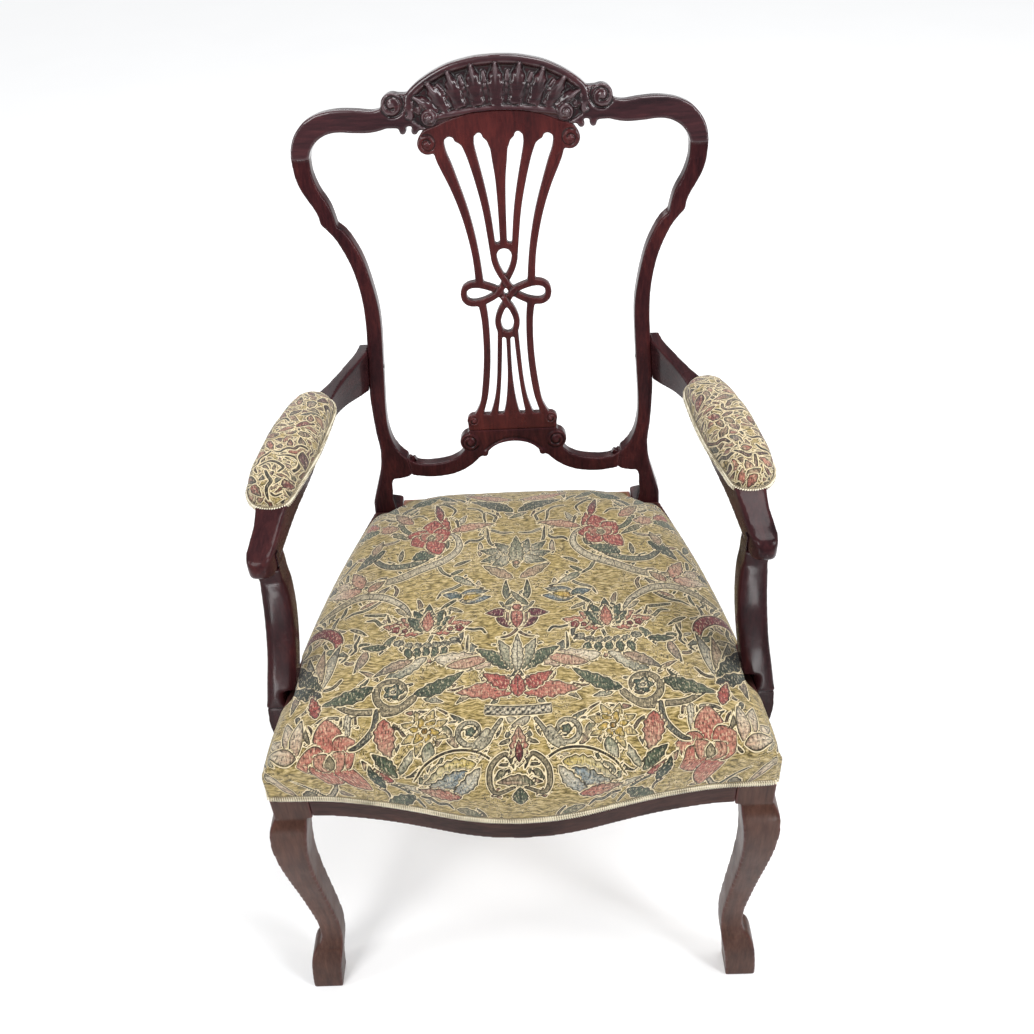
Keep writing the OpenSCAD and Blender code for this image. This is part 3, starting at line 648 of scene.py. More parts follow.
# crossings of the strapwork knot: x, height, direction of the band on top
KNOT_CROSSINGS = ((0, 735.5, 0.55, -0.83), (8.5, 722.3, -0.62, -0.78),
                  (0, 709.5, 0.55, -0.83), (-8.5, 722.3, 0.62, 0.78))
RAIL_SCROLL = (57, 524)
RAIL_CURL = (38.5, 507.5)
TABLET_TOP = through_points(
    [[103, 929], [103.6, 941], [101, 950.5], [94, 957.5], [84, 964.5], [71, 971.5],
     [54, 978.5], [35, 983], [18, 985.3], [0, 986]], 4)
# each carved leaf of the tablet: foot x, foot height, tip x, tip height, half width
LEAVES = [(0, 936, 0, 980, 10.6), (21, 935.5, 27.5, 979, 10.6), (41, 934, 54, 973, 10.2),
          (57, 931.5, 78, 963, 9.4), (67, 929.5, 94, 947.5, 8.0)]


def leaf_height(x, h, leaf):
    x0, h0, x1, h1, half = leaf
    ax, ay = x1 - x0, h1 - h0
    length = math.hypot(ax, ay)
    s = ((x - x0) * ax + (h - h0) * ay) / length ** 2
    w = ((x - x0) * ay - (h - h0) * ax) / length
    ss = np.clip(s, 0, 1)
    edge = half * (0.70 + 0.30 * np.sin(np.pi * np.clip(ss * 1.2, 0, 1) * 0.5)) * \
        (1 - np.clip((ss - 0.45) / 0.55, 0, 1) ** 1.5)
    edge = edge + 0.35 * np.sin(ss * 30)
    k = np.abs(w) / np.maximum(edge, 0.01)
    dome = np.clip(1 - k ** 1.9, 0, 1) ** 0.7 * (3.4 + 3.8 * ss)
    ridge = 1.5 * bell(w / 1.6) * step(0.35, 0.8, ss)
    veins = 0.4 * np.sin(ss * 20 - np.abs(w) * 0.9) * step(0.4, 0.75, k)
    return np.where((s > -0.02) & (s < 1.0) & (k < 1), dome + ridge + veins * (k < 0.95), 0)


def bud_height(x, h, a, b):
    """Small rounded tongue with an eye, between two leaves."""
    x0, h0 = (a[0] + b[0]) / 2, (a[1] + b[1]) / 2
    x1, h1 = (a[2] + b[2]) / 2, (a[3] + b[3]) / 2 - 9
    ax, ay = x1 - x0, h1 - h0
    length = math.hypot(ax, ay)
    s = ((x - x0) * ax + (h - h0) * ay) / length ** 2
    w = ((x - x0) * ay - (h - h0) * ax) / length
    ss = np.clip(s, 0, 1)
    half = 3.4 * half_round((ss - 0.62) / 0.42) + 0.4
    k = np.abs(w) / half
    dome = 3.0 * half_round(k) * step(0.25, 0.6, ss)
    ring = 1.2 * bell((np.hypot(w, (ss - 0.58) * length) - 2.6) / 0.9)
    return np.where((s > 0) & (s < 1) & (k < 1), dome - ring, 0)


def carve_crest(ob):
    co = coords(ob)
    x, h, d = on_back(co)
    ax = np.abs(x)
    outline = mirrored(TABLET_TOP[::-1])
    field = inside(np.c_[x, h], np.vstack([outline[:len(TABLET_TOP)], [[103, 926], [80, 912],
                   [0, 924], [-80, 912], [-103, 926]], outline[len(TABLET_TOP):]]))
    border, _ = polyline_distance(np.c_[ax, h], TABLET_TOP)
    rim = 2.2 * half_round((border - 4.6) / 4.2)
    rim += -0.9 * bell((border - 9.4) / 1.0)
    ground = -2.8 * step(7.5, 11.5, border)
    relief = ground + rim
    lobes = np.zeros(len(x))
    for i, leaf in enumerate(LEAVES):
        lobes = np.maximum(lobes, leaf_height(ax, h, leaf))
        if i + 1 < len(LEAVES):
            lobes = np.maximum(lobes, bud_height(ax, h, leaf, LEAVES[i + 1]))
    # ragged leaf curls beside the bosses
    for cx, cy, r in ((88, 934, 6.5), (94, 941, 5.0), (84, 942, 4.0)):
        q = np.hypot(ax - cx, h - cy)
        lobes = np.maximum(lobes, 3.6 * half_round(q / r)
                           - 1.1 * bell((q - r * 0.5) / 0.8))
    relief = np.maximum(relief, ground + lobes * step(5.0, 8.5, border))
    low = 931.0 - 0.0013 * ax ** 2
    fillet = 1.9 * half_round((h - low) / 3.6) - 0.4
    relief = np.where((np.abs(h - low) < 3.6) & (ax < 72), fillet, relief)
    relief = np.where((h < low - 3.6) & (ax < 76), -0.4, relief)
    boss = np.hypot(ax - TABLET_BOSS[0], h - TABLET_BOSS[1])
    dome = 1.0 + 3.6 * half_round(boss / 9.4) + \
        0.8 * spiral(ax, h, *TABLET_BOSS, 8.6, 1.2, 120, 1, 1.6, 0.9)
    relief = np.where(boss < 9.2, np.maximum(relief, dome), relief)
    face = field & (d > -2.0) & (ax < 103.5)
    keep = step(0.0, 2.0, border)
    new = 1.5 + relief * keep
    d2 = np.where(face, np.where(border < 2.0, np.minimum(d, new + 0.4), new), d)
    # ear scrolls
    off = np.hypot(ax - EAR_SCROLL[0], h - EAR_SCROLL[1])
    near = off < 14.5
    roll = spiral(ax, h, *EAR_SCROLL, 12.8, 1.15, 250, -1, 2.3, 1.5)
    d2 = np.where(near & (d > -2.0) & ~field, 2.6 + roll - 2.2 * step(10.5, 13.5, off), d2)
    co += (d2 - d)[:, None] * BACK_FRONT
    set_coords(ob, co)
    soften = np.where(face | near, 0.35, 0.0)
    relax(ob, 3, 0.5, soften)
    painted_light_relief_attr(ob, 0.22)
    return stand_for(ob, MAHOGANY_CREST, "carved_mahogany", "crest_rail")


def carve_splat():
    ob = remeshed("back_splat", 1.05, 4)
    co = coords(ob)
    x, h, depth = on_back(co)
    d = depth
    ax = np.abs(x)
    face = (depth > -1.6) & ((normals(ob) @ BACK_FRONT) > 0.35)
    add = np.zeros(len(x))
    for cx, cy, r, start in SPLAT_SCROLLS:
        near = np.hypot(ax - cx, h - cy) < r + 1.0
        base = spiral(ax, h, cx, cy, r, 1.3, start, 1, 1.6, 1.0)
        d = np.where(near & face, np.minimum(d, 0.2), d)
        add += np.where(near, base, 0)
    # over-and-under of the strapwork knot
    half = 4.1
    for cx, cy, ux, uy in KNOT_CROSSINGS:
        px, py = x - cx, h - cy
        r = np.hypot(px, py)
        across = np.abs(px * uy - py * ux)
        zone = 1 - step(6.0, 8.5, r)
        add += zone * (0.7 * (across < half) - 0.6 * (across > half + 0.5))
        add -= zone * 1.3 * bell((across - half) / 0.75)
    # incised line along the outer bars
    bar = through_points([[69, 880], [60.5, 861], [49.5, 835], [42.5, 808], [36.5, 780],
                          [32.6, 752]], 4)
    q, _ = polyline_distance(np.c_[ax, h], bar)
    add -= 0.7 * bell(q / 0.9)
    rise = add * face + (d - depth) * face
    set_coords(ob, co + rise[:, None] * BACK_FRONT)
    relax(ob, 1, 0.4)
    painted_light_relief_attr(ob, 0.25)
    return stand_for(ob, MAHOGANY_RED, "carved_mahogany", "back_splat")


def carve_lower_rail():
    ob = remeshed("lower_back_rail", 1.15, 0)
    relax(ob, 8, 0.5, np.where(np.abs(coords(ob)[:, 0]) > 130, 0.2, 1.0))
    co = coords(ob)
    x, h, d = on_back(co)
    ax = np.abs(x)
    face = (d > -1.6) & ((normals(ob) @ BACK_FRONT) > 0.35)
    r = np.hypot(ax - RAIL_SCROLL[0], h - RAIL_SCROLL[1])
    roll = 0.6 + spiral(ax, h, *RAIL_SCROLL, 12.2, 1.5, 200, 1, 2.0, 1.2)
    d2 = np.where((r < 12.5) & face, roll, d)
    curl = np.hypot(ax - RAIL_CURL[0], h - RAIL_CURL[1])
    d2 += np.where(curl < 5, 1.2 * half_round(curl / 5), 0) * face
    arch = 521 - 0.011 * ax ** 2
    d2 += 1.2 * bell((h - arch - 4.5) / 1.6) * (ax < 38) * face
    d2 -= 0.8 * bell((h - arch - 8.4) / 0.9) * (ax < 38) * face
    co += (d2 - d)[:, None] * BACK_FRONT
    set_coords(ob, co)
    relax(ob, 1, 0.4)
    painted_light_relief_attr(ob, 0.25)
    return stand_for(ob, MAHOGANY, "mahogany", "lower_back_rail")


CORNER = (264, 251)                              # centre of the rounding at the front corners
BLOCK_ROUND = 6.4
CLOTH_ROUND = 8.9


def at_corner(co):
    """Offsets outwards from the centre of the front corner's rounding, and the distance."""
    qx, qy = np.abs(co[:, 0]) - CORNER[0], -co[:, 1] - CORNER[1]
    return qx, qy, np.hypot(qx, qy)


def move_corner(co, which, qx, qy, k):
    """Moves the chosen points to k times their distance from the centre."""
    co[:, 0] = np.where(which, np.sign(co[:, 0]) * (CORNER[0] + qx * k), co[:, 0])
    co[:, 1] = np.where(which, -(CORNER[1] + qy * k), co[:, 1])


def round_block(ob):
    """Takes off the outer corner of the leg block where the seat cover passes over it."""
    co = coords(ob)
    qx, qy, r = at_corner(co)
    over = (qx > 0) & (qy > 0) & (r > BLOCK_ROUND) & (co[:, 2] > 386)
    move_corner(co, over, qx, qy, np.where(over, BLOCK_ROUND / np.maximum(r, 1e-6), 1))
    set_coords(ob, co)


def block_ledge(ob):
    """Crisp ledge where the rounded support meets its square block."""
    co, n = coords(ob), normals(ob)
    n[:, 2] = 0
    z = co[:, 2] - 414 + 0.10 * (co[:, 1] + 135)
    back = 1.1 * (1 - step(-0.8, 0.8, z)) + 0.9 * bell((z - 0.3) / 1.3)
    back += 1.3 * step(574, 592, co[:, 2])
    set_coords(ob, co - n * back[:, None])


def ease_post_foot(ob):
    """Tapers the inner side of a back post towards its back, just above the seat."""
    co = coords(ob)
    z = co[:, 2]
    behind = np.clip(co[:, 1] - (183 + 0.17 * (z - 440)), 0, 40)
    inner = 1 - step(160, 184, np.abs(co[:, 0]))
    near = step(424, 430, z) * (1 - step(468, 482, z))
    low = 6.5 * (1 - step(436, 456, z))
    co[:, 0] += np.sign(co[:, 0]) * (0.26 * behind + low) * inner * near
    set_coords(ob, co)


def plain_wood(node, voxel, rounds, material, slot, where=None, more=0):
    """Eased copy of a CAD piece; where= picks the part that is rounded by more passes."""
    ob = remeshed(node, voxel, rounds)
    if where:
        relax(ob, more, 0.5, where(coords(ob)))
    if node.startswith("front_leg"):
        round_block(ob)
    if node.startswith("arm_support"):
        block_ledge(ob)
    painted_light_relief_attr(ob, 0.25)
    return stand_for(ob, material, slot, node)


crest_piece, left_post, right_post = joined_back()
carve_crest(crest_piece)
for post, post_node in ((left_post, "back_post_left"), (right_post, "back_post_right")):
    ease_post_foot(post)
    painted_light_relief_attr(post, 0.25)
    stand_for(post, MAHOGANY, "mahogany", post_node)
carve_splat()
carve_lower_rail()
for side in ("left", "right"):
    plain_wood("arm_" + side, 1.3, 8, MAHOGANY_ARM, "mahogany",
               lambda co: 1 - step(-120, -84, co[:, 1]), 26)
    plain_wood("arm_support_" + side, 1.3, 6, MAHOGANY_DARK, "mahogany",
               lambda co: step(418, 426, co[:, 2]) * (1 - step(575, 600, co[:, 2])), 30)
    plain_wood("front_leg_" + side, 1.3, 5, MAHOGANY_LEG, "mahogany",
               lambda co: 1 - step(340, 350, co[:, 2]), 5)
    plain_wood("side_seat_rail_" + side, 2.0, 2, MAHOGANY_SIDE, "mahogany")
    for end in ("front", "back"):
        plain_wood("corner_block_%s_%s" % (end, side), 1.8, 2, BEECH, "beech")
plain_wood("front_seat_rail", 1.5, 4, MAHOGANY_RAIL, "mahogany")
plain_wood("back_seat_rail", 2.0, 2, BEECH, "beech")

for name in ("corner_block_screws", "arm_screws", "arm_support_screws"):
    NODES[name].data.materials.clear()
    NODES[name].data.materials.append(STEEL)
for name, timber in (("seat_frame_dowels", BIRCH), ("arm_support_dowels", BIRCH),
                     ("back_frame_dowels", MAHOGANY)):
    NODES[name].data.materials.clear()
    NODES[name].data.materials.append(timber)


# ---- tapestry design --------------------------------------------------------

PINK = (0.40, 0.10, 0.09)
CORAL = (0.46, 0.155, 0.12)
SALMON = (0.54, 0.30, 0.215)
BLUSH = (0.52, 0.37, 0.26)
WINE = (0.14, 0.025, 0.045)
GREEN = (0.055, 0.085, 0.055)
SAGE = (0.18, 0.21, 0.135)
TEAL = (0.075, 0.115, 0.09)
PALE = (0.56, 0.52, 0.38)
CREAM = (0.72, 0.66, 0.50)
GREY = (0.20, 0.205, 0.165)
STONE = (0.36, 0.31, 0.20)
GOLD = (0.50, 0.32, 0.075)
BLUE = (0.25, 0.31, 0.33)
YELLOW = (0.62, 0.50, 0.17)
MAUVE = (0.22, 0.13, 0.125)
UMBER = (0.13, 0.095, 0.06)
INK = (0.05, 0.05, 0.045)


class Cloth:
    """Paints shapes onto a surface whose flattened coordinates are given, in mm."""

    def __init__(self, uv):
        self.uv = uv
        self.edge = np.full(len(uv), 30.0)
        self.vein = np.full(len(uv), 30.0)
        self.fill = np.tile(np.array([0.45, 0.40, 0.2]), (len(uv), 1))

    def near(self, x, y, reach):
        return np.nonzero((np.abs(self.uv[:, 0] - x) < reach)
                          & (np.abs(self.uv[:, 1] - y) < reach))[0]

    def lay(self, idx, gap, colour, vein):
        self.edge[idx] = np.minimum(self.edge[idx], np.maximum(gap, 0.0))
        top = gap < 2.4
        i = idx[top]
        self.edge[i] = gap[top]
        self.fill[i] = colour[top]
        self.vein[i] = np.where(gap[top] < 0, vein[top], 30.0)

    def leaf(self, x, y, angle, length, width, base, tip, bend=0.0, teeth=0, side_veins=0,
             blunt=1.0):
        """Leaf or petal growing from (x, y); angle in degrees from +x."""
        a = math.radians(angle)
        reach = length * 1.25 + width
        idx = self.near(x, y, reach)
        p = self.uv[idx] - [x, y]
        s = (p[:, 0] * math.cos(a) + p[:, 1] * math.sin(a)) / length
        w = -p[:, 0] * math.sin(a) + p[:, 1] * math.cos(a)
        ss = np.clip(s, 0, 1)
        w = w - bend * length * ss ** 2
        half = width * np.sin(np.pi * ss ** 0.8) ** blunt + 0.15
        if teeth:
            saw = np.abs((ss * teeth) % 1 - 0.45)
            half = half * (1.12 - 0.55 * saw)
        gap = np.abs(w) - half
        gap = np.where(s < 0, np.hypot(s * length, w), gap)
        gap = np.where(s > 1, np.hypot((s - 1) * length, w), gap)
        shade = (ss + 0.18 * np.sin(w * 1.3))[:, None].clip(0, 1)
        colour = np.array(base) * (1 - shade) + np.array(tip) * shade
        vein = np.abs(w) + 0.15
        if side_veins:
            comb = np.abs(((ss * side_veins + np.abs(w) / length * 1.4) % 1) - 0.5)
            vein = np.minimum(vein, (0.5 - comb) * 2 * length / side_veins * 0.5 + 0.35)
        vein = np.where((ss > 0.92) | (ss < 0.04), 30, vein)
        self.lay(idx, gap, colour, vein)

    def blob(self, x, y, r, colour, rim=None, lobes=0, depth=0.0, squash=1.0, rings=0.0):
        idx = self.near(x, y, r * 1.8)
        p = self.uv[idx] - [x, y]
        p = p / [1, squash]
        q = np.hypot(p[:, 0], p[:, 1])
        t = np.arctan2(p[:, 1], p[:, 0])
        edge = r * (1 + depth * np.cos(lobes * t)) if lobes else r
        k = np.clip(q / r, 0, 1)[:, None]
        c = np.array(colour) * (1 - k) + np.array(rim or colour) * k
        vein = np.abs((q % rings) - rings / 2) + 0.1 if rings else np.full(len(q), 30.0)
        self.lay(idx, q - edge, c, vein)

    def ribbon(self, points, width, colour, taper=True, rungs=0.0, end=None):
        """Scrolling band along a curve; rungs marks bars across it at that pitch."""
        line = through_points(points, 5)
        mid = line.mean(0)
        reach = np.abs(line - mid).max() + width + 4
        idx = self.near(mid[0], mid[1], reach)
        q, along = polyline_distance(self.uv[idx], line)
        half = width * (np.sin(np.pi * (0.12 + 0.88 * along)) ** 0.5 if taper else 1.0)
        gap = q - half
        c = np.array(colour) * (1 - along[:, None]) + np.array(end or colour) * along[:, None]
        vein = q + 0.2
        if rungs:
            total = np.hypot(*np.diff(line, axis=0).T).sum()
            at = along * total
            vein = np.minimum(np.abs(q - half * 0.45) + 0.2,
                              np.abs(at % rungs - rungs / 2) + 0.25)
        self.lay(idx, gap, c, vein)

    def curl(self, x, y, radius, turns, width, colour, start=0.0, hand=1, tail=()):
        """Spiral scroll ending in its middle, with a tail running off from outside."""
        pts = list(tail)
        n = int(turns * 10)
        for i in range(n + 1):
            t = i / n
            a = math.radians(start) + hand * t * turns * 2 * math.pi
            r = radius * (1 - 0.72 * t)
            pts.append((x + r * math.cos(a), y + r * math.sin(a)))
        self.ribbon(pts, width, colour, True, 5.5)

    def flower(self, x, y, r, petals, base, tip, heart, turn=0.0, width=0.42, squash=1.0):
        for i in range(petals):
            a = turn + 360.0 * i / petals + 9 * math.sin(i * 2.1)
            self.leaf(x + r * 0.12 * math.cos(math.radians(a)),
                      y + r * 0.12 * math.sin(math.radians(a)) * squash,
                      a, r * (0.95 + 0.22 * math.sin(i * 2.3 + 1)), r * width * (1 - 0.12 * (i % 2)),
                      base, tip, 0.16 * math.sin(i * 1.7 + 0.5), 0, 6, 0.72)
        for lean in (-38, 38):
            self.leaf(x, y - r * 0.2, turn + lean, r * 0.62, r * width * 0.6, tip, SALMON,
                      0.004 * lean, 0, 4, 0.7)
        self.leaf(x, y - r * 0.2, turn, r * 0.4, r * 0.15, heart, heart)

    def plume(self, x, y, angle, length, count, width, base, tip, spread=60.0, bend=0.12):
        """Fan of leaflets off a common foot."""
        for i in range(count):
            k = (i / (count - 1) - 0.5) if count > 1 else 0
            self.leaf(x, y, angle + k * spread * 2, length * (1 - 0.5 * abs(k)), width, base, tip,
                      bend * (1 if k > 0 else -1) * (abs(k) > 0.05), 4, 0)

    def checks(self, x, y, w, h, pitch):
        idx = self.near(x, y, max(w, h))
        p = self.uv[idx] - [x, y]
        sag = p[:, 1] - p[:, 0] ** 2 * 0.0025
        gap = np.maximum(np.abs(p[:, 0]) - w, np.abs(sag) - h)
        on = (np.floor(p[:, 0] / pitch) + np.floor(sag / pitch)) % 2
        c = np.where(on[:, None] > 0, np.array(CREAM), np.array(INK))
        self.lay(idx, gap, c, np.full(len(idx), 30.0))


def design_half(c, s):
    """One half of the seat design; s is +1 or -1 for the mirrored half."""
    def ang(a):
        return a if s > 0 else 180 - a

    def pt(*pts):
        return [(s * x, y) for x, y in pts]

    def leaf(x, y, angle, length, width, base, tip, bend=0.0, teeth=0, veins=0):
        c.leaf(s * x, y, ang(angle), length, width, base, tip, bend * s, teeth, veins)

    def blob(x, *rest):
        c.blob(s * x, *rest)

    def band(points, *rest):
        c.ribbon(pt(*points), *rest)

    # big double ribbon looping below the back flower
    band(((196, 12), (182, -8), (150, -6), (118, 10), (90, 24), (72, 46), (74, 68), (88, 84)), 5.5,
         STONE, True, 9, CREAM)
    band(((178, 40), (160, 22), (132, 20), (108, 32), (88, 50), (86, 70)), 4.6, GREY, True, 0,
         SAGE)
    band(((232, -52), (210, -38), (188, -30), (160, -34), (134, -52), (122, -72)), 5.0, STONE,
         True, 7, CREAM)
    band(((226, 10), (204, -4), (182, -14), (160, -10)), 3.0, SAGE)
    # leaves of the loop
    leaf(164, 54, -28, 44, 9, GREEN, GREY, -0.25, 6, 6)
    leaf(128, 30, 148, 40, 9.5, TEAL, SAGE, 0.22, 6, 6)
    leaf(178, 50, 100, 26, 6, BLUSH, STONE, 0.2, 0, 4)
    # back flower with side shoots
    band(((118, 74), (140, 88), (150, 112), (144, 138), (122, 150)), 3.4, SAGE, True, 0, GREY)
    leaf(84, 84, 62, 52, 6.5, CORAL, PINK, 0.1, 5, 6)
    leaf(82, 82, 162, 56, 7.5, SALMON, BLUSH, 0.1, 5, 6)
    leaf(96, 104, 84, 44, 5, PINK, WINE, -0.1, 5, 5)
    leaf(132, 104, 38, 40, 8, SALMON, STONE, 0.2, 5, 5)
    leaf(138, 150, 160, 46, 9, GREEN, SAGE, -0.2, 5, 6)
    leaf(150, 96, 8, 36, 8.5, BLUSH, SALMON, 0.15, 5, 5)
    c.flower(s * 108, 72, 29, 5, CORAL, PINK, STONE, ang(100), 0.48, 0.9)
    # carnation on the side
    leaf(196, -14, 30, 42, 10, CREAM, BLUSH, 0.1, 6, 6)
    leaf(186, -14, 72, 38, 8.5, SALMON, BLUSH, -0.1, 5, 5)
    leaf(186, -18, 2, 44, 9.5, SALMON, CREAM, 0.1, 6, 6)
    leaf(178, -22, 132, 26, 6, SALMON, STONE, 0.1, 0, 4)
    blob(226, 0, 6.5, GREY, INK, 7, 0.2)
    # blue tulip
    leaf(68, -44, 152, 36, 7.2, BLUE, GREY, 0.18, 0, 4)
    leaf(68, -48, 184, 38, 7.2, GREY, BLUE, -0.18, 0, 4)
    leaf(66, -46, 168, 25, 5.0, GOLD, YELLOW, 0, 0, 0)
    leaf(64, -44, 28, 24, 6.0, TEAL, BLUE, -0.2, 3, 3)
    band(((72, -48), (84, -58), (90, -72)), 2.2, GREEN)
    # peony: palmate head over beaded skirt, long side petals
    for a, l, w in ((172, 52, 11), (8, 54, 11), (150, 38, 9), (30, 40, 9)):
        leaf(102, -96, a, l, w, CORAL, SALMON, 0.1 * (1 if a < 90 else -1), 6, 5)
    for sx in (66, 138):
        blob(sx, -93 + (sx - 66) * 0.03, 5.2, WINE, PINK, 5, 0.15)
        blob(sx + (10 if sx < 100 else -10), -94, 3.6, WINE, PINK, 5, 0.15)
    c.plume(s * 102, -98, 90, 46, 5, 8.0, SAGE, TEAL, 38)
    c.leaf(s * 102, -98, 90, 34, 7, SALMON, CORAL, 0, 5, 5)
    for k in range(7):
        blob(102 + (k - 3) * 10.5, -112 - 2.0 * (9 - (k - 3) ** 2) ** 0.5 * 1.2, 6.0, PALE, GREY,
             8, 0.14, 0.8, 2.0)
    for k in range(5):
        c.leaf(s * (102 + (k - 2) * 11), -121, 270 + (k - 2) * 9, 17, 4.4, TEAL, SAGE, 0, 3, 0)
    leaf(146, -116, 352, 30, 5, GREEN, SAGE, 0.15, 4, 4)
    # arch of pale bird-like leaves
    leaf(92, -138, -166, 84, 13, CREAM, BLUSH, -0.16, 7, 8)
    leaf(78, -150, 176, 58, 7.5, BLUSH, SALMON, -0.2, 0, 5)
    leaf(100, -136, -32, 64, 8, CREAM, TEAL, -0.1, 6, 6)
    leaf(116, -140, -14, 46, 6.5, BLUSH, GREY, -0.25, 5, 5)
    # spiral with green rosette and its banded stem
    c.curl(s * 134, -184, 23, 1.5, 4.0, STONE, ang(200), s, pt(
        (196, -196), (178, -206), (154, -208), (130, -208)))
    blob(134, -183, 9.5, GREEN, TEAL, 5, 0.22, 0.95)
    blob(134, -183, 2.6, CREAM)
    # dark green leaves either side
    leaf(112, -186, 170, 58, 9, GREEN, SAGE, -0.32, 5, 6)
    leaf(156, -176, -32, 58, 9.5, GREEN, SAGE, 0.24, 5, 6)
    leaf(196, -216, -96, 30, 5.5, BLUSH, SAGE, 0.1, 4, 4)
    # side crescent, wine and cream, over a striped shell
    band(((252, -86), (240, -78), (222, -80), (206, -96), (202, -118)), 7.5, WINE, True, 0, PINK)
    for k in range(5):
        leaf(214 + k * 4, -172 - k, 94 - 13 * k, 66 - 3 * k, 6.6, STONE if k % 2 else CREAM,
             BLUSH if k % 2 else GREY, 0.14, 0, 5)
    leaf(214, -176, 42, 62, 10, GREEN, INK, 0.3, 4, 5)
    leaf(212, -182, 18, 46, 8, INK, TEAL, 0.25, 4, 5)
    # front corner flower
    leaf(214, -212, 78, 34, 6, PINK, CORAL, -0.1, 5, 5)
    band(((236, -206), (226, -226), (218, -240)), 3.2, GREY, True, 0, STONE)
    for a, l, w in ((150, 40, 8), (118, 46, 7.5), (96, 42, 7), (172, 34, 7)):
        leaf(232, -252, 180 - a, l, w, BLUSH, CREAM, 0.15, 0, 5)
    c.flower(s * 196, -256, 34, 5, CORAL, SALMON, STONE, ang(84), 0.46, 0.9)
    band(((150, -206), (152, -226), (166, -242), (178, -246)), 3.2, GREY, True, 4)
    leaf(142, -216, -92, 44, 11, CORAL, BLUSH, -0.16, 5, 6)
    # daisy
    for i in range(8):
        c.leaf(s * 98, -232, ang(22 + 45 * i), 27, 5.6, GOLD, (0.64, 0.56, 0.32), 0.05, 4, 3)
    for i in range(6):
        leaf(98, -232, 60 * i + 12, 17, 4.6, GOLD, YELLOW, 0, 3, 0)
    blob(98, -232, 3.2, (0.35, 0.20, 0.05), GOLD, 6, 0.1)
    c.leaf(s * 92, -244, ang(-80), 28, 6.5, SAGE, CREAM, 0.1, 0, 4)
    # small spiral by the middle
    c.curl(s * 50, -236, 17, 1.5, 3.0, PALE, ang(180), s, pt(
        (18, -224), (26, -236), (34, -250), (48, -256)))
    blob(50, -236, 5.0, SAGE, TEAL, 5, 0.18)
    # yellow and blue plume at the front edge
    leaf(44, -270, -4, 60, 9, YELLOW, PALE, -0.2, 7, 6)
    leaf(52, -276, -22, 62, 8, BLUE, PALE, 0.0, 7, 6)
    leaf(40, -274, -48, 50, 7, CREAM, BLUE, 0.12, 6, 5)
    band(((24, -270), (44, -258), (70, -256), (96, -266), (112, -282)), 0.9, UMBER)
    leaf(128, -276, 62, 34, 7, SAGE, GREEN, -0.3, 5, 5)
    leaf(134, -280, 20, 36, 7, PINK, BLUSH, 0.35, 0, 5)
    leaf(152, -290, 84, 30, 7, TEAL, GREEN, 0, 5, 5)
    blob(24, -300, 7, CORAL, SALMON, 5, 0.2)
    leaf(64, -306, 10, 50, 8, CORAL, BLUSH, 0.1, 5, 5)
    leaf(120, -302, -20, 54, 8, GREEN, SAGE, 0.1, 5, 5)
    # down the sides of the seat
    leaf(262, -128, 20, 44, 9, SALMON, BLUSH, 0.1, 5, 5)
    leaf(262, -60, 60, 50, 8, SAGE, GREY, -0.1, 5, 5)
    leaf(246, 10, 40, 44, 9, CORAL, BLUSH, 0.1, 5, 5)
    leaf(226, 60, 60, 44, 8, BLUSH, STONE, 0.1, 5, 5)
    leaf(176, 96, 52, 48, 8.5, SALMON, PINK, 0.1, 5, 5)
    leaf(176, 100, 4, 44, 8, SAGE, GREY, 0.1, 5, 5)
    # acanthus behind the middle
    for a, l, w in ((150, 44, 9), (178, 40, 9), (206, 36, 8), (120, 36, 7.5)):
        c.leaf(s * 3, 26, ang(180 - a), l, w, CREAM, GREEN, 0.18, 6, 6)
    leaf(4, -12, 28, 44, 7, BLUSH, STONE, 0.1, 4, 4)
    # lily wings
    leaf(4, -96, 62, 32, 9, WINE, WINE, -0.25, 0, 0)
    leaf(10, -72, 12, 26, 6.5, WINE, (0.2, 0.05, 0.08), -0.2, 0, 0)
    leaf(3, -94, 76, 26, 5, SALMON, BLUSH, -0.1, 0, 3)
    # green plumes below the lily
    leaf(3, -160, 52, 54, 10, GREEN, SAGE, -0.25, 6, 7)
    leaf(3, -160, 76, 50, 8, SAGE, PALE, -0.12, 6, 7)
    leaf(4, -190, 14, 62, 12, CORAL, SALMON, -0.2, 5, 6)
    leaf(4, -186, 40, 42, 9, PINK, CORAL, -0.1, 5, 6)
    c.ribbon([(s * 6, -292), (s * 26, -300), (s * 30, -276), (s * 14, -262), (s * 5, -276)],
             2.6, STONE)
    leaf(3, 120, 38, 62, 9, GREEN, GREY, -0.2, 5, 6)
    leaf(5, 150, 12, 66, 8, BLUSH, SALMON, 0.1, 5, 6)
    leaf(60, 190, 30, 60, 9, SALMON, STONE, 0.1, 5, 6)


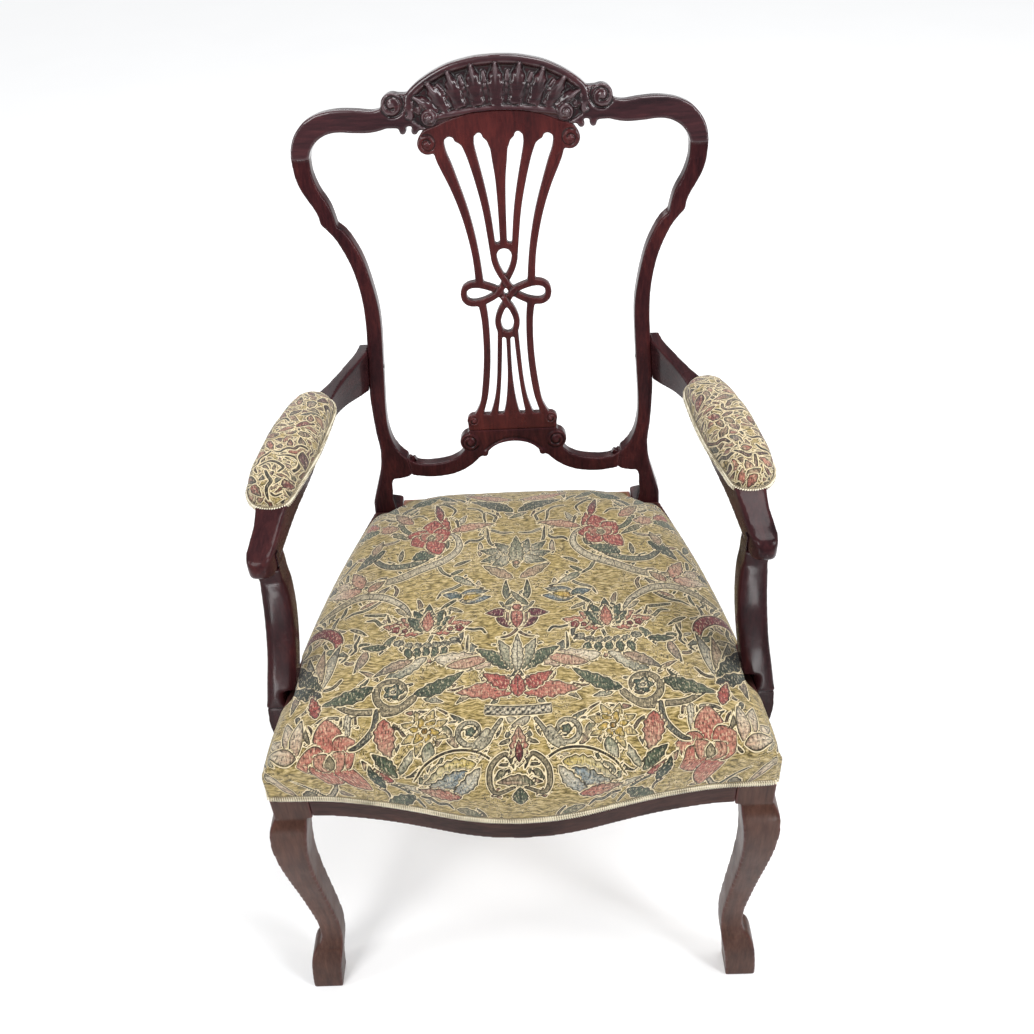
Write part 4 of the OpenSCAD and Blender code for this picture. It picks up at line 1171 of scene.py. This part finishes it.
def seat_filler(c):
    """Small sprigs and tendrils behind the main flowers, the same on both halves."""
    rnd = np.random.RandomState(5)
    tones = [STONE, BLUSH, GREY, SAGE, STONE, CREAM, SALMON, PALE, SAGE, GREY]
    for i in range(250):
        x, y = rnd.uniform(4, 275), rnd.uniform(-330, 215)
        a, size = rnd.uniform(0, 360), rnd.uniform(0.7, 1.3)
        tone, tip = tones[rnd.randint(10)], tones[rnd.randint(10)]
        bend, wide, teeth = rnd.uniform(-0.35, 0.35), rnd.uniform(2.4, 5.2), rnd.randint(0, 6)
        turn = rnd.uniform(-60, 60, 4)
        for s in (-1, 1):
            b = a if s > 0 else 180 - a
            if i % 2 == 0:
                pts, h = [(s * x, y)], b
                for q in turn:
                    h += s * q
                    pts.append((pts[-1][0] + 11 * size * math.cos(math.radians(h)),
                                pts[-1][1] + 11 * size * math.sin(math.radians(h))))
                c.ribbon(pts, 0.5 + 0.3 * wide, tone, True, 0, tip)
            else:
                c.leaf(s * x, y, b, 30 * size, wide * size, tone, tip, s * bend, teeth, 5)


def seat_design(c):
    seat_filler(c)
    for s in (-1, 1):
        design_half(c, s)
    c.leaf(0, 4, 90, 62, 9, PALE, SAGE, 0, 6, 7)
    c.blob(0, 14, 4.5, SALMON, STONE, 5, 0.2)
    c.leaf(0, -96, 90, 42, 7, PINK, SALMON, 0, 0, 4)
    c.blob(0, -62, 5.2, SALMON, CORAL, 6, 0.1)
    c.leaf(0, -162, 90, 56, 6.5, PALE, CREAM, 0, 6, 7)
    c.blob(0, -166, 6.0, INK, GREEN, 6, 0.1)
    c.leaf(0, -196, 90, 32, 8.5, CORAL, PINK, 0, 5, 5)
    c.checks(0, -214, 36, 5.6, 3.4)
    c.leaf(0, -274, 90, 42, 9, CORAL, BLUSH, 0, 5, 5)
    c.leaf(0, -270, 90, 22, 4, WINE, PINK, 0, 0, 0)
    c.leaf(0, -318, 90, 26, 8, SAGE, GREEN, 0, 5, 5)


def scatter_design(c, span, count, seed):
    """Close all-over leafage for the arm pads."""
    rnd = np.random.RandomState(seed)
    tones = [MAUVE, BLUSH, UMBER, SALMON, SALMON, STONE, GREY, MAUVE, CORAL, BLUSH]
    (x0, y0), (x1, y1) = span
    for i in range(count):
        x, y = rnd.uniform(x0, x1), rnd.uniform(y0, y1)
        a = rnd.uniform(0, 360)
        t = tones[rnd.randint(len(tones))]
        if i % 3 == 0:
            pts = [(x, y)]
            for _ in range(5):
                a += rnd.uniform(-80, 80)
                pts.append((pts[-1][0] + 8 * math.cos(math.radians(a)),
                            pts[-1][1] + 8 * math.sin(math.radians(a))))
            c.ribbon(pts, rnd.uniform(0.9, 2.6), t, True, 0, tones[rnd.randint(len(tones))])
        else:
            c.leaf(x, y, a, rnd.uniform(12, 26), rnd.uniform(2.8, 5.6), t,
                   tones[rnd.randint(len(tones))], rnd.uniform(-0.3, 0.3), rnd.randint(0, 5),
                   rnd.randint(0, 5))


# ---- upholstery -------------------------------------------------------------

def polar_radii(points, mid, angles):
    """Radius of a star-shaped outline about mid, at each angle."""
    p = np.asarray(points, float) - mid
    a = np.unwrap(np.arctan2(p[:, 1], p[:, 0]))
    if a[-1] < a[0]:
        p, a = p[::-1], a[::-1]
    r = np.hypot(p[:, 0], p[:, 1])
    a = np.r_[a - 2 * math.pi, a, a + 2 * math.pi]
    r = np.r_[r, r, r]
    order = np.argsort(a)
    return np.interp(angles, a[order], r[order])


def ring_faces(rings, n):
    """Faces between rings of n points each, with the first ring closed."""
    faces = []
    for j in range(rings - 1):
        for i in range(n):
            k = (i + 1) % n
            faces.append((j * n + i, j * n + k, (j + 1) * n + k, (j + 1) * n + i))
    faces.append(tuple(range(n))[::-1])
    return faces


def tube_faces(first, count, sides, closed):
    """Faces of a tube of count rings, joined up or with both ends closed."""
    faces = []
    for i in range(count if closed else count - 1):
        a, b = first + i * sides, first + ((i + 1) % count) * sides
        for j in range(sides):
            q = (j + 1) % sides
            faces.append((a + j, b + j, b + q, a + q))
    if not closed:
        faces.append(tuple(first + j for j in range(sides)))
        faces.append(tuple(first + (count - 1) * sides + j for j in reversed(range(sides))))
    return faces


def lofted(name, mid, angles, rings):
    """Closed form through star-shaped rings given as (radii, z)."""
    n = len(angles)
    verts = []
    for radii, z in rings:
        for a, r in zip(angles, radii):
            verts.append((mid[0] + r * math.cos(a), mid[1] + r * math.sin(a), z))
    faces = ring_faces(len(rings), n)
    faces.append(tuple((len(rings) - 1) * n + i for i in range(n)))
    return mesh_from(name, verts, faces)


def inflated(ob, voxel, pressure, frames, cap, pinned_below):
    """Remeshes, swells the free part with cloth pressure, caps the movement."""
    even_mesh(ob, voxel)
    relax(ob, 2)
    start = coords(ob)
    grip = ob.vertex_groups.new(name="grip")
    z = start[:, 2]
    hold = 1 - step(pinned_below, pinned_below + 14, z)
    for i in np.nonzero(hold > 0.01)[0]:
        grip.add([int(i)], float(hold[i]), "REPLACE")
    cloth = ob.modifiers.new("cloth", "CLOTH")
    cs = cloth.settings
    cs.quality = 6
    cs.mass = 0.3
    cs.use_pressure = True
    cs.uniform_pressure_force = pressure
    cs.effector_weights.gravity = 0
    cs.vertex_group_mass = "grip"
    cs.tension_stiffness = cs.compression_stiffness = 18
    cs.shear_stiffness = 10
    cs.bending_stiffness = 2.0
    cloth.point_cache.frame_start = 1
    cloth.point_cache.frame_end = frames
    scene = bpy.context.scene
    for f in range(1, frames + 1):
        scene.frame_set(f)
    baked(ob)
    scene.frame_set(1)
    move = coords(ob) - start
    dist = np.linalg.norm(move, axis=1)
    scale = np.where(dist > 1e-6, np.minimum(1, cap * (1 - np.exp(-dist / cap)) /
                                             np.maximum(dist, 1e-6)), 1)
    set_coords(ob, start + move * scale[:, None])
    ob.vertex_groups.clear()
    return ob


def drop_under(ob, limit):
    """Opens the closed form from below: the cloth has no underside."""
    bm = bmesh.new()
    bm.from_mesh(ob.data)
    gone = [f for f in bm.faces if f.normal.z < -0.6 and f.calc_center_median().z < limit * MM]
    bmesh.ops.delete(bm, geom=gone, context="FACES")
    bm.to_mesh(ob.data)
    bm.free()
    ob.data.update()


def subdivided(ob):
    m = ob.modifiers.new("finer", "SUBSURF")
    m.levels = m.render_levels = 1
    return baked(ob)


def thickened(ob, thickness):
    m = ob.modifiers.new("cloth_thickness", "SOLIDIFY")
    m.thickness = thickness * MM
    m.offset = -1
    return baked(ob)


def flattened(co, mid, angles, rim_radii, rim_z, rim_full):
    """Plan position of each point with the sides unrolled outwards."""
    p = co[:, :2] - mid
    a = np.arctan2(p[:, 1], p[:, 0]) % (2 * math.pi)
    out = p / np.maximum(np.hypot(p[:, 0], p[:, 1]), 1e-6)[:, None]
    near = np.hypot(p[:, 0], p[:, 1]) > 0.7 * np.interp(a, angles, rim_radii, period=2 * math.pi)
    drop = np.where(near, np.maximum(0, rim_z - co[:, 2]), 0)
    return co[:, :2] + out * drop[:, None] * rim_full


def paint(ob, design, flat):
    """Stores the drawn design and the cloth's own coordinates on the mesh."""
    float_attr(ob, "edge", design.edge)
    float_attr(ob, "vein", design.vein)
    colour_attr(ob, "fill", design.fill)
    vector_attr(ob, "cloth", np.c_[flat * MM, np.zeros(len(flat))])


SEAT_MID = np.array([0.0, -40.0])
SEAT_LOW = mirrored(np.vstack([
    through_points([[0, -294.4], [33, -292.5], [66, -287], [100, -278.5], [136, -270],
                    [172, -263.5], [205, -259.3], [250, -258]], 3),
    [[264, -258], [269, -256.6], [270.8, -252.6], [271, -238]],
    through_points([[270, -216], [263, -150], [254.5, -84], [243.5, -18], [230, 48], [213.5, 114],
                    [203, 148]], 3),
    [[196, 170], [188, 180], [172, 181.4], [158, 182], [155.5, 190], [154, 204], [148, 208],
     [90, 208], [0, 208]]]))
SEAT_TOP = mirrored(through_points(
    [[0, -291], [66, -284.5], [136, -268.5], [205, -259.5], [240, -260], [257, -257.5],
     [264.5, -248], [263.5, -213], [258.5, -168], [249.5, -98], [238, -28], [219.5, 52],
     [203, 108], [189, 144], [162, 169.5], [132, 184], [92, 193], [0, 195]], 4))
N_SEAT = 240
SEAT_ANGLES = np.arange(N_SEAT) * 2 * math.pi / N_SEAT
GIMP_STRANDS = 3
# heights above the floor
COVER_FOOT = 386.5
SEAT_GIMP_Z = 391.2
PAD_FOOT = 643.4
PAD_GIMP_Z = 647.3
WEBBING_Z = 427.0
HESSIAN_Z = 429.75
STRAP_WIDTH = 50


def build_seat():
    low = polar_radii(SEAT_LOW, SEAT_MID, SEAT_ANGLES)
    top = polar_radii(SEAT_TOP, SEAT_MID, SEAT_ANGLES)
    rings = [(low + 0.8, COVER_FOOT), (low + 1.6, 396), (low + 2.0, 412), (low + 1.4, 423),
             (low * 0.5 + top * 0.5 + 1.6, 429), (low * (1 - 0.85) + top * 0.85 + 1.0, 434.5),
             (top * 0.996, 441.5), (top * 0.965, 449), (top * 0.91, 456), (top * 0.81, 461.5),
             (top * 0.66, 465), (top * 0.46, 467.2), (top * 0.22, 468.4), (top * 0.05, 468.8)]
    ob = lofted("seat_cover_tapestry", SEAT_MID, SEAT_ANGLES, rings)
    inflated(ob, 4.1, 1.6, 16, 3.0, 420)
    drop_under(ob, 400)
    subdivided(ob)
    co = coords(ob)
    # the cloth is tucked past the arm supports and the back posts
    beside = step(-176, -160, co[:, 1]) * (1 - step(-100, -84, co[:, 1]))
    limit = 248.2 - 1.7 * step(420, 470, co[:, 2])
    over = np.maximum(np.abs(co[:, 0]) - limit, 0) * beside
    co[:, 0] -= np.sign(co[:, 0]) * over
    # the skirt lies over the square leg blocks at the front corners
    qx, qy, r = at_corner(co)
    short = (qx > 0) & (qy > 0) & (r < CLOTH_ROUND)
    k = np.where(short, CLOTH_ROUND / np.maximum(r, 1e-6), 1)
    move_corner(co, short, qx, qy, 1 + (k - 1) * (1 - step(418, 440, co[:, 2])))
    # drawn puckers above the tacked edge, and corner pleats at the front
    p = co[:, :2] - SEAT_MID
    a = np.arctan2(p[:, 1], p[:, 0])
    r = np.hypot(p[:, 0], p[:, 1])
    out = p / np.maximum(r, 1)[:, None]
    edge = 1 - step(392, 432, co[:, 2])
    pull = 0.35 * np.sin(a * 92) * edge
    corner = np.exp(-((np.abs(co[:, 0]) - 262) / 16) ** 2 - ((co[:, 1] + 254) / 16) ** 2)
    pull += 0.9 * np.sin(a * 150) * corner * (1 - step(430, 452, co[:, 2]))
    co[:, :2] += out * pull[:, None]
    lumps = 0.8 * np.sin(co[:, 0] * 0.031 + 1.1) * np.sin(co[:, 1] * 0.027 + 0.4) \
        + 0.5 * np.sin(co[:, 0] * 0.058 + co[:, 1] * 0.049)
    co[:, 2] += lumps * step(440, 462, co[:, 2])
    at_foot = co[:, 2] < 390
    co[at_foot, 2] = 387.5
    set_coords(ob, co)
    flat = flattened(coords(ob), SEAT_MID, SEAT_ANGLES, top, 441, 1.0)
    c = Cloth(flat)
    seat_design(c)
    paint(ob, c, flat)
    thickened(ob, 1.5)
    stand_for(ob, TAPESTRY, "tapestry", "seat_cover")
    # horsehair body just under the cloth
    inner = [(low * 0.93, 430.5), (low * 0.945, 434)]
    inner += [(top * k, z) for k, z in ((0.955, 441), (0.93, 447), (0.87, 453.5), (0.77, 459),
                                        (0.62, 462.2), (0.42, 464), (0.18, 465), (0.04, 465.2))]
    hair = lofted("seat_stuffing_hair", SEAT_MID, SEAT_ANGLES, inner)
    inflated(hair, 6.0, 1.0, 6, 1.0, 436)
    hc = coords(hair)
    bumps = 0.9 * np.sin(hc[:, 0] * 0.21) * np.sin(hc[:, 1] * 0.19 + 1) + \
        0.6 * np.sin(hc[:, 0] * 0.43 + hc[:, 1] * 0.37)
    hc[:, 2] -= np.abs(bumps) * step(433, 440, hc[:, 2])
    set_coords(hair, hc)
    stand_for(hair, HAIR, "hair", "seat_stuffing")
    return low


def ply_path(line, z, closed, name, node, radius=1.3, sway=2.5, pitch=7.4):
    """Plaited gimp: strands weaving from side to side along a path in plan."""
    line = np.asarray(line, float)
    if closed:
        line = np.vstack([line, line[:1]])
    seg = np.hypot(*np.diff(line, axis=0).T)
    run = np.r_[0, np.cumsum(seg)]
    n = int(run[-1] / 1.1)
    s = np.linspace(0, run[-1], n, endpoint=not closed)
    x, y = np.interp(s, run, line[:, 0]), np.interp(s, run, line[:, 1])
    if closed:
        tx, ty = np.roll(x, -1) - np.roll(x, 1), np.roll(y, -1) - np.roll(y, 1)
        pitch = run[-1] / round(run[-1] / pitch)
    else:
        tx, ty = np.gradient(x), np.gradient(y)
    t = np.hypot(tx, ty)
    ox, oy = ty / t, -tx / t
    verts, faces, where, depth = [], [], [], []
    sides = 6
    for k in range(GIMP_STRANDS):
        ph = 2 * math.pi * (s / pitch + k / GIMP_STRANDS)
        up = sway * np.sin(ph)
        lift = 1.0 * np.sin(2 * ph) + 1.0
        first = len(verts)
        for i in range(n):
            for j in range(sides):
                b = 2 * math.pi * j / sides
                o = lift[i] + radius * math.cos(b)
                verts.append((x[i] + ox[i] * o, y[i] + oy[i] * o, z + up[i]
                              + radius * math.sin(b)))
                where.append((s[i] * MM, j / sides * 2, 0))
                depth.append(max(-1.0, min(1.0, (o - 0.9) / 1.6)))
        faces += tube_faces(first, n, sides, closed)
    # flat heading tape behind the plait, stored as deep so that it is painted in shade
    first = len(verts)
    ring = ((0.0, -3.6), (0.9, -3.3), (0.9, 3.3), (0.0, 3.6))
    for i in range(n):
        for o, u in ring:
            verts.append((x[i] + ox[i] * (o - 0.2), y[i] + oy[i] * (o - 0.2), z + u))
            where.append((s[i] * MM, u, 0))
            depth.append(-0.6)
    faces += tube_faces(first, n, len(ring), closed)
    ob = mesh_from(name, verts, faces)
    bm = bmesh.new()
    bm.from_mesh(ob.data)
    bmesh.ops.recalc_face_normals(bm, faces=bm.faces)
    bm.to_mesh(ob.data)
    bm.free()
    vector_attr(ob, "cloth", where)
    # how deep each point lies, which the gimp material paints as shade
    float_attr(ob, "painted_light_relief", depth)
    return stand_for(ob, GIMP, "gimp", node)


def build_seat_gimp(low):
    pts = np.c_[SEAT_MID[0] + (low + 1.3) * np.cos(SEAT_ANGLES),
                SEAT_MID[1] + (low + 1.3) * np.sin(SEAT_ANGLES)]
    # from the right-hand back corner round the front to the left-hand one
    keep = pts[pts[:, 1] < 180]
    order = np.argsort((np.arctan2(keep[:, 1] + 40, keep[:, 0]) - math.pi / 2) % (2 * math.pi))
    ply_path(keep[order], SEAT_GIMP_Z, False, "seat_gimp_braid", "seat_gimp")


PAD_MID = np.array([243.0, 20.0])
PAD_LINE = through_points(
    [[206.5, 96], [214, 115], [229, 123], [244, 116], [255, 90], [265, 50], [272, 5], [277, -35],
     [276, -60], [265, -79], [247, -84], [233, -77], [226.5, -52], [218, -12], [212, 30],
     [208, 66]], 5, True)
PAD_ANGLES = np.arange(160) * 2 * math.pi / 160


def build_pad(side, s):
    r = polar_radii(PAD_LINE, PAD_MID, PAD_ANGLES)
    rise = [(1.0, 0), (0.985, 5.0), (0.955, 9.5), (0.90, 14), (0.81, 18), (0.68, 21), (0.5, 23),
            (0.3, 24), (0.1, 24.4)]
    rings = [(r + 0.8, PAD_FOOT), (r + 1.4, 648)] + [(r * k + 1.4, 651 + z) for k, z in rise]
    ob = lofted("arm_pad_cover_cloth_" + side, PAD_MID, PAD_ANGLES, rings)
    inflated(ob, 2.6, 3.0, 12, 2.2, 650)
    drop_under(ob, 647)
    subdivided(ob)
    co = coords(ob)
    p = co[:, :2] - PAD_MID
    a = np.arctan2(p[:, 1], p[:, 0])
    out = p / np.maximum(np.hypot(p[:, 0], p[:, 1]), 1)[:, None]
    co[:, :2] += out * (0.35 * np.sin(a * 44) * (1 - step(646, 662, co[:, 2])))[:, None]
    co[:, 2] += (0.35 * np.sin(co[:, 0] * 0.21 + 0.5) * np.sin(co[:, 1] * 0.13)
                 + 0.22 * np.sin(co[:, 0] * 0.55 + 1.7 * np.sin(co[:, 1] * 0.16))) * \
        step(655, 668, co[:, 2])
    co[co[:, 2] < 645.2, 2] = 644.2
    flat = flattened(co, PAD_MID, PAD_ANGLES, r, 664, 0.8)
    c = Cloth(flat)
    scatter_design(c, ((185, -115), (300, 155)), 420, 11 if s > 0 else 23)
    if s < 0:
        co[:, 0] = -co[:, 0]
        flat = flat * [-1, 1]
    set_coords(ob, co)
    if s < 0:
        ob.data.flip_normals()
    paint(ob, c, flat)
    thickened(ob, 1.4)
    stand_for(ob, PAD_TAPESTRY, "tapestry", "arm_pad_cover_" + side)
    inner = [(r * 0.975, 650.6)] + [(r * k * 0.975 - 0.4, 650.6 + z * 0.95) for k, z in rise[1:]]
    hair = lofted("arm_pad_hair_" + side, PAD_MID, PAD_ANGLES, inner)
    inflated(hair, 3.0, 1.0, 5, 0.6, 655)
    if s < 0:
        hc = coords(hair)
        hc[:, 0] = -hc[:, 0]
        set_coords(hair, hc)
        hair.data.flip_normals()
    stand_for(hair, HAIR, "hair", "arm_pad_" + side)
    line = np.c_[PAD_MID[0] + (r + 2.0) * np.cos(PAD_ANGLES),
                 PAD_MID[1] + (r + 2.0) * np.sin(PAD_ANGLES)] * [s, 1]
    if s < 0:
        line = line[::-1]
    ply_path(line, PAD_GIMP_Z, True, "arm_pad_gimp_braid_" + side, "arm_pad_gimp_" + side, 1.05, 1.9,
             7.5)


def build_webbing():
    """Interlaced jute straps on the rails, ends dipped a little, and the hessian over them."""
    long_x = (-108, -36, 36, 108)
    cross_y = (-182, -106, -30, 46, 122)
    for k, (x, name) in enumerate(zip(long_x, "abcd")):
        y0, y1 = (-272 if abs(x) < 50 else -252), 200
        strap("webbing_long_" + name, (x, y0), (x, y1), cross_y, k, "seat_webbing_long")
    for k, (y, name) in enumerate(zip(cross_y, "abcde")):
        half = 240 - 0.194 * (y + 182)
        strap("webbing_cross_" + name, (-half, y), (half, y), long_x, k + 1, "seat_webbing_cross")
    poly = (SEAT_LOW - SEAT_MID) * 0.94 + SEAT_MID
    angles = np.arange(128) * math.pi / 64
    r = polar_radii(poly, SEAT_MID, angles)
    verts = []
    rings = np.linspace(0.02, 1.0, 40)
    for k in rings:
        for a, q in zip(angles, r):
            x, y = SEAT_MID[0] + q * k * math.cos(a), SEAT_MID[1] + q * k * math.sin(a)
            verts.append((x, y, HESSIAN_Z + 0.12 * math.sin(x * 0.09) * math.sin(y * 0.083)))
    ob = mesh_from("seat_hessian_cloth", verts, ring_faces(len(rings), len(angles)))
    vector_attr(ob, "cloth", np.asarray([(v[0], v[1], 0) for v in verts]) * MM)
    thickened(ob, 0.7)
    stand_for(ob, HESSIAN, "hessian", "seat_hessian")


def strap(name, start, end, crossings, parity, node):
    """One 50 mm strap, passing over and under those that cross it."""
    a, b = np.array(start, float), np.array(end, float)
    length = np.linalg.norm(b - a)
    u = (b - a) / length
    v = np.array([-u[1], u[0]])
    along_axis = 1 if abs(u[1]) > 0.5 else 0
    steps = int(length / 4)
    width = np.linspace(-STRAP_WIDTH / 2, STRAP_WIDTH / 2, 13)
    verts, faces, where = [], [], []
    for i in range(steps + 1):
        s = length * i / steps
        p = a + u * s
        z = 0.0
        for j, q in enumerate(crossings):
            w = math.exp(-((p[along_axis] - q) / 22.0) ** 2)
            z += (1.05 if (j + parity) % 2 else -1.05) * w
        ends = 1 - step(0.0, 30.0, np.array(min(s, length - s)))
        z = WEBBING_Z + z * (1 - float(ends)) + (-0.9 * float(ends))
        for w in width:
            q = p + v * w
            verts.append((q[0], q[1], z + 0.18 * math.cos(w * 0.9)))
            where.append((w * MM, s * MM, 0))
    n = len(width)
    for i in range(steps):
        for j in range(n - 1):
            faces.append((i * n + j, (i + 1) * n + j, (i + 1) * n + j + 1, i * n + j + 1))
    ob = mesh_from(name, verts, faces)
    vector_attr(ob, "cloth", where)
    thickened(ob, 1.3)
    stand_for(ob, JUTE, "jute", node)


build_seat_gimp(build_seat())
build_pad("right", 1)
build_pad("left", -1)
build_webbing()


# ---- stage, light, camera ---------------------------------------------------

def stage():
    bpy.ops.mesh.primitive_plane_add(size=24, location=(0, 4, 0))
    floor = bpy.context.object
    floor.name = "studio_floor"
    g = Graph("studio_paper")
    mottle = g.noise(g.where(), 3, 3)
    col = g.ramp(mottle, (0.3, (0.83, 0.83, 0.83)), (0.7, (0.86, 0.86, 0.86)))
    depth = g.parts(g.where())[1]
    lift = g.times(g.remap(depth, -3.9, -1.6, 0.18, 0.60), g.remap(depth, -5.1, -4.5))
    floor.data.materials.append(g.finish(Base_Color=col, Roughness=0.85,
                                         Emission_Color=(1.0, 1.0, 1.0), Emission_Strength=lift))
    world = bpy.data.worlds.new("studio")
    bpy.context.scene.world = world
    world.use_nodes = True
    bg = world.node_tree.nodes["Background"]
    bg.inputs[0].default_value = (0.95, 0.97, 1.0, 1)
    bg.inputs[1].default_value = 0.36

    def area(name, place, target, size, power, tint=(1, 1, 1)):
        lamp = bpy.data.lights.new(name, "AREA")
        lamp.shape = "RECTANGLE"
        lamp.size, lamp.size_y = size
        lamp.energy = power
        lamp.color = tint
        ob = bpy.data.objects.new(name, lamp)
        bpy.context.scene.collection.objects.link(ob)
        ob.location = place
        aim = Vector(target) - Vector(place)
        ob.rotation_euler = aim.to_track_quat("-Z", "Y").to_euler()

    area("key", (-1.3, -1.9, 2.6), (0, 0, 0.5), (1.0, 1.4), 46)
    area("top", (0.6, 0.4, 2.8), (0, 0, 0.5), (1.2, 1.2), 40)
    area("window", (1.9, -1.3, 2.2), (0, 0, 0.6), (0.5, 1.4), 34, (0.95, 0.97, 1.0))
    area("behind", (-0.8, 2.6, 2.0), (0, 0, 0.7), (1.6, 1.2), 16)
    # small low cards that light the fronts of the arm supports and legs
    area("card_left", (-0.46, -0.74, 0.05), (-0.27, -0.15, 0.45), (0.02, 0.26), 0.75)
    area("card_right", (0.40, -0.74, 0.05), (0.27, -0.15, 0.45), (0.02, 0.26), 0.75)
    # tall cards off to the sides that light the flanks of the crest carving
    area("side_left", (-1.39, -0.53, 1.18), (0, 0.27, 0.93), (0.22, 0.6), 5.0)
    area("side_right", (1.39, -0.53, 1.18), (0, 0.27, 0.93), (0.22, 0.6), 5.0)


def camera():
    yaw, pitch, roll = -0.0256, -0.6821, -0.0547
    forward = Vector((math.sin(yaw) * math.cos(pitch), math.cos(yaw) * math.cos(pitch),
                      math.sin(pitch)))
    right = Vector((math.cos(yaw), -math.sin(yaw), 0))
    up = right.cross(forward)
    r2 = math.cos(roll) * right + math.sin(roll) * up
    u2 = -math.sin(roll) * right + math.cos(roll) * up
    cam = bpy.data.cameras.new("camera")
    cam.sensor_width = 36
    cam.lens = 36.0
    ob = bpy.data.objects.new("camera", cam)
    bpy.context.scene.collection.objects.link(ob)
    m = Matrix((r2, u2, -forward)).transposed().to_4x4()
    m.translation = Vector((0.0281, -0.9267, 1.3073))
    ob.matrix_world = m
    bpy.context.scene.camera = ob


stage()
camera()
bpy.context.scene.view_settings.view_transform = "Standard"
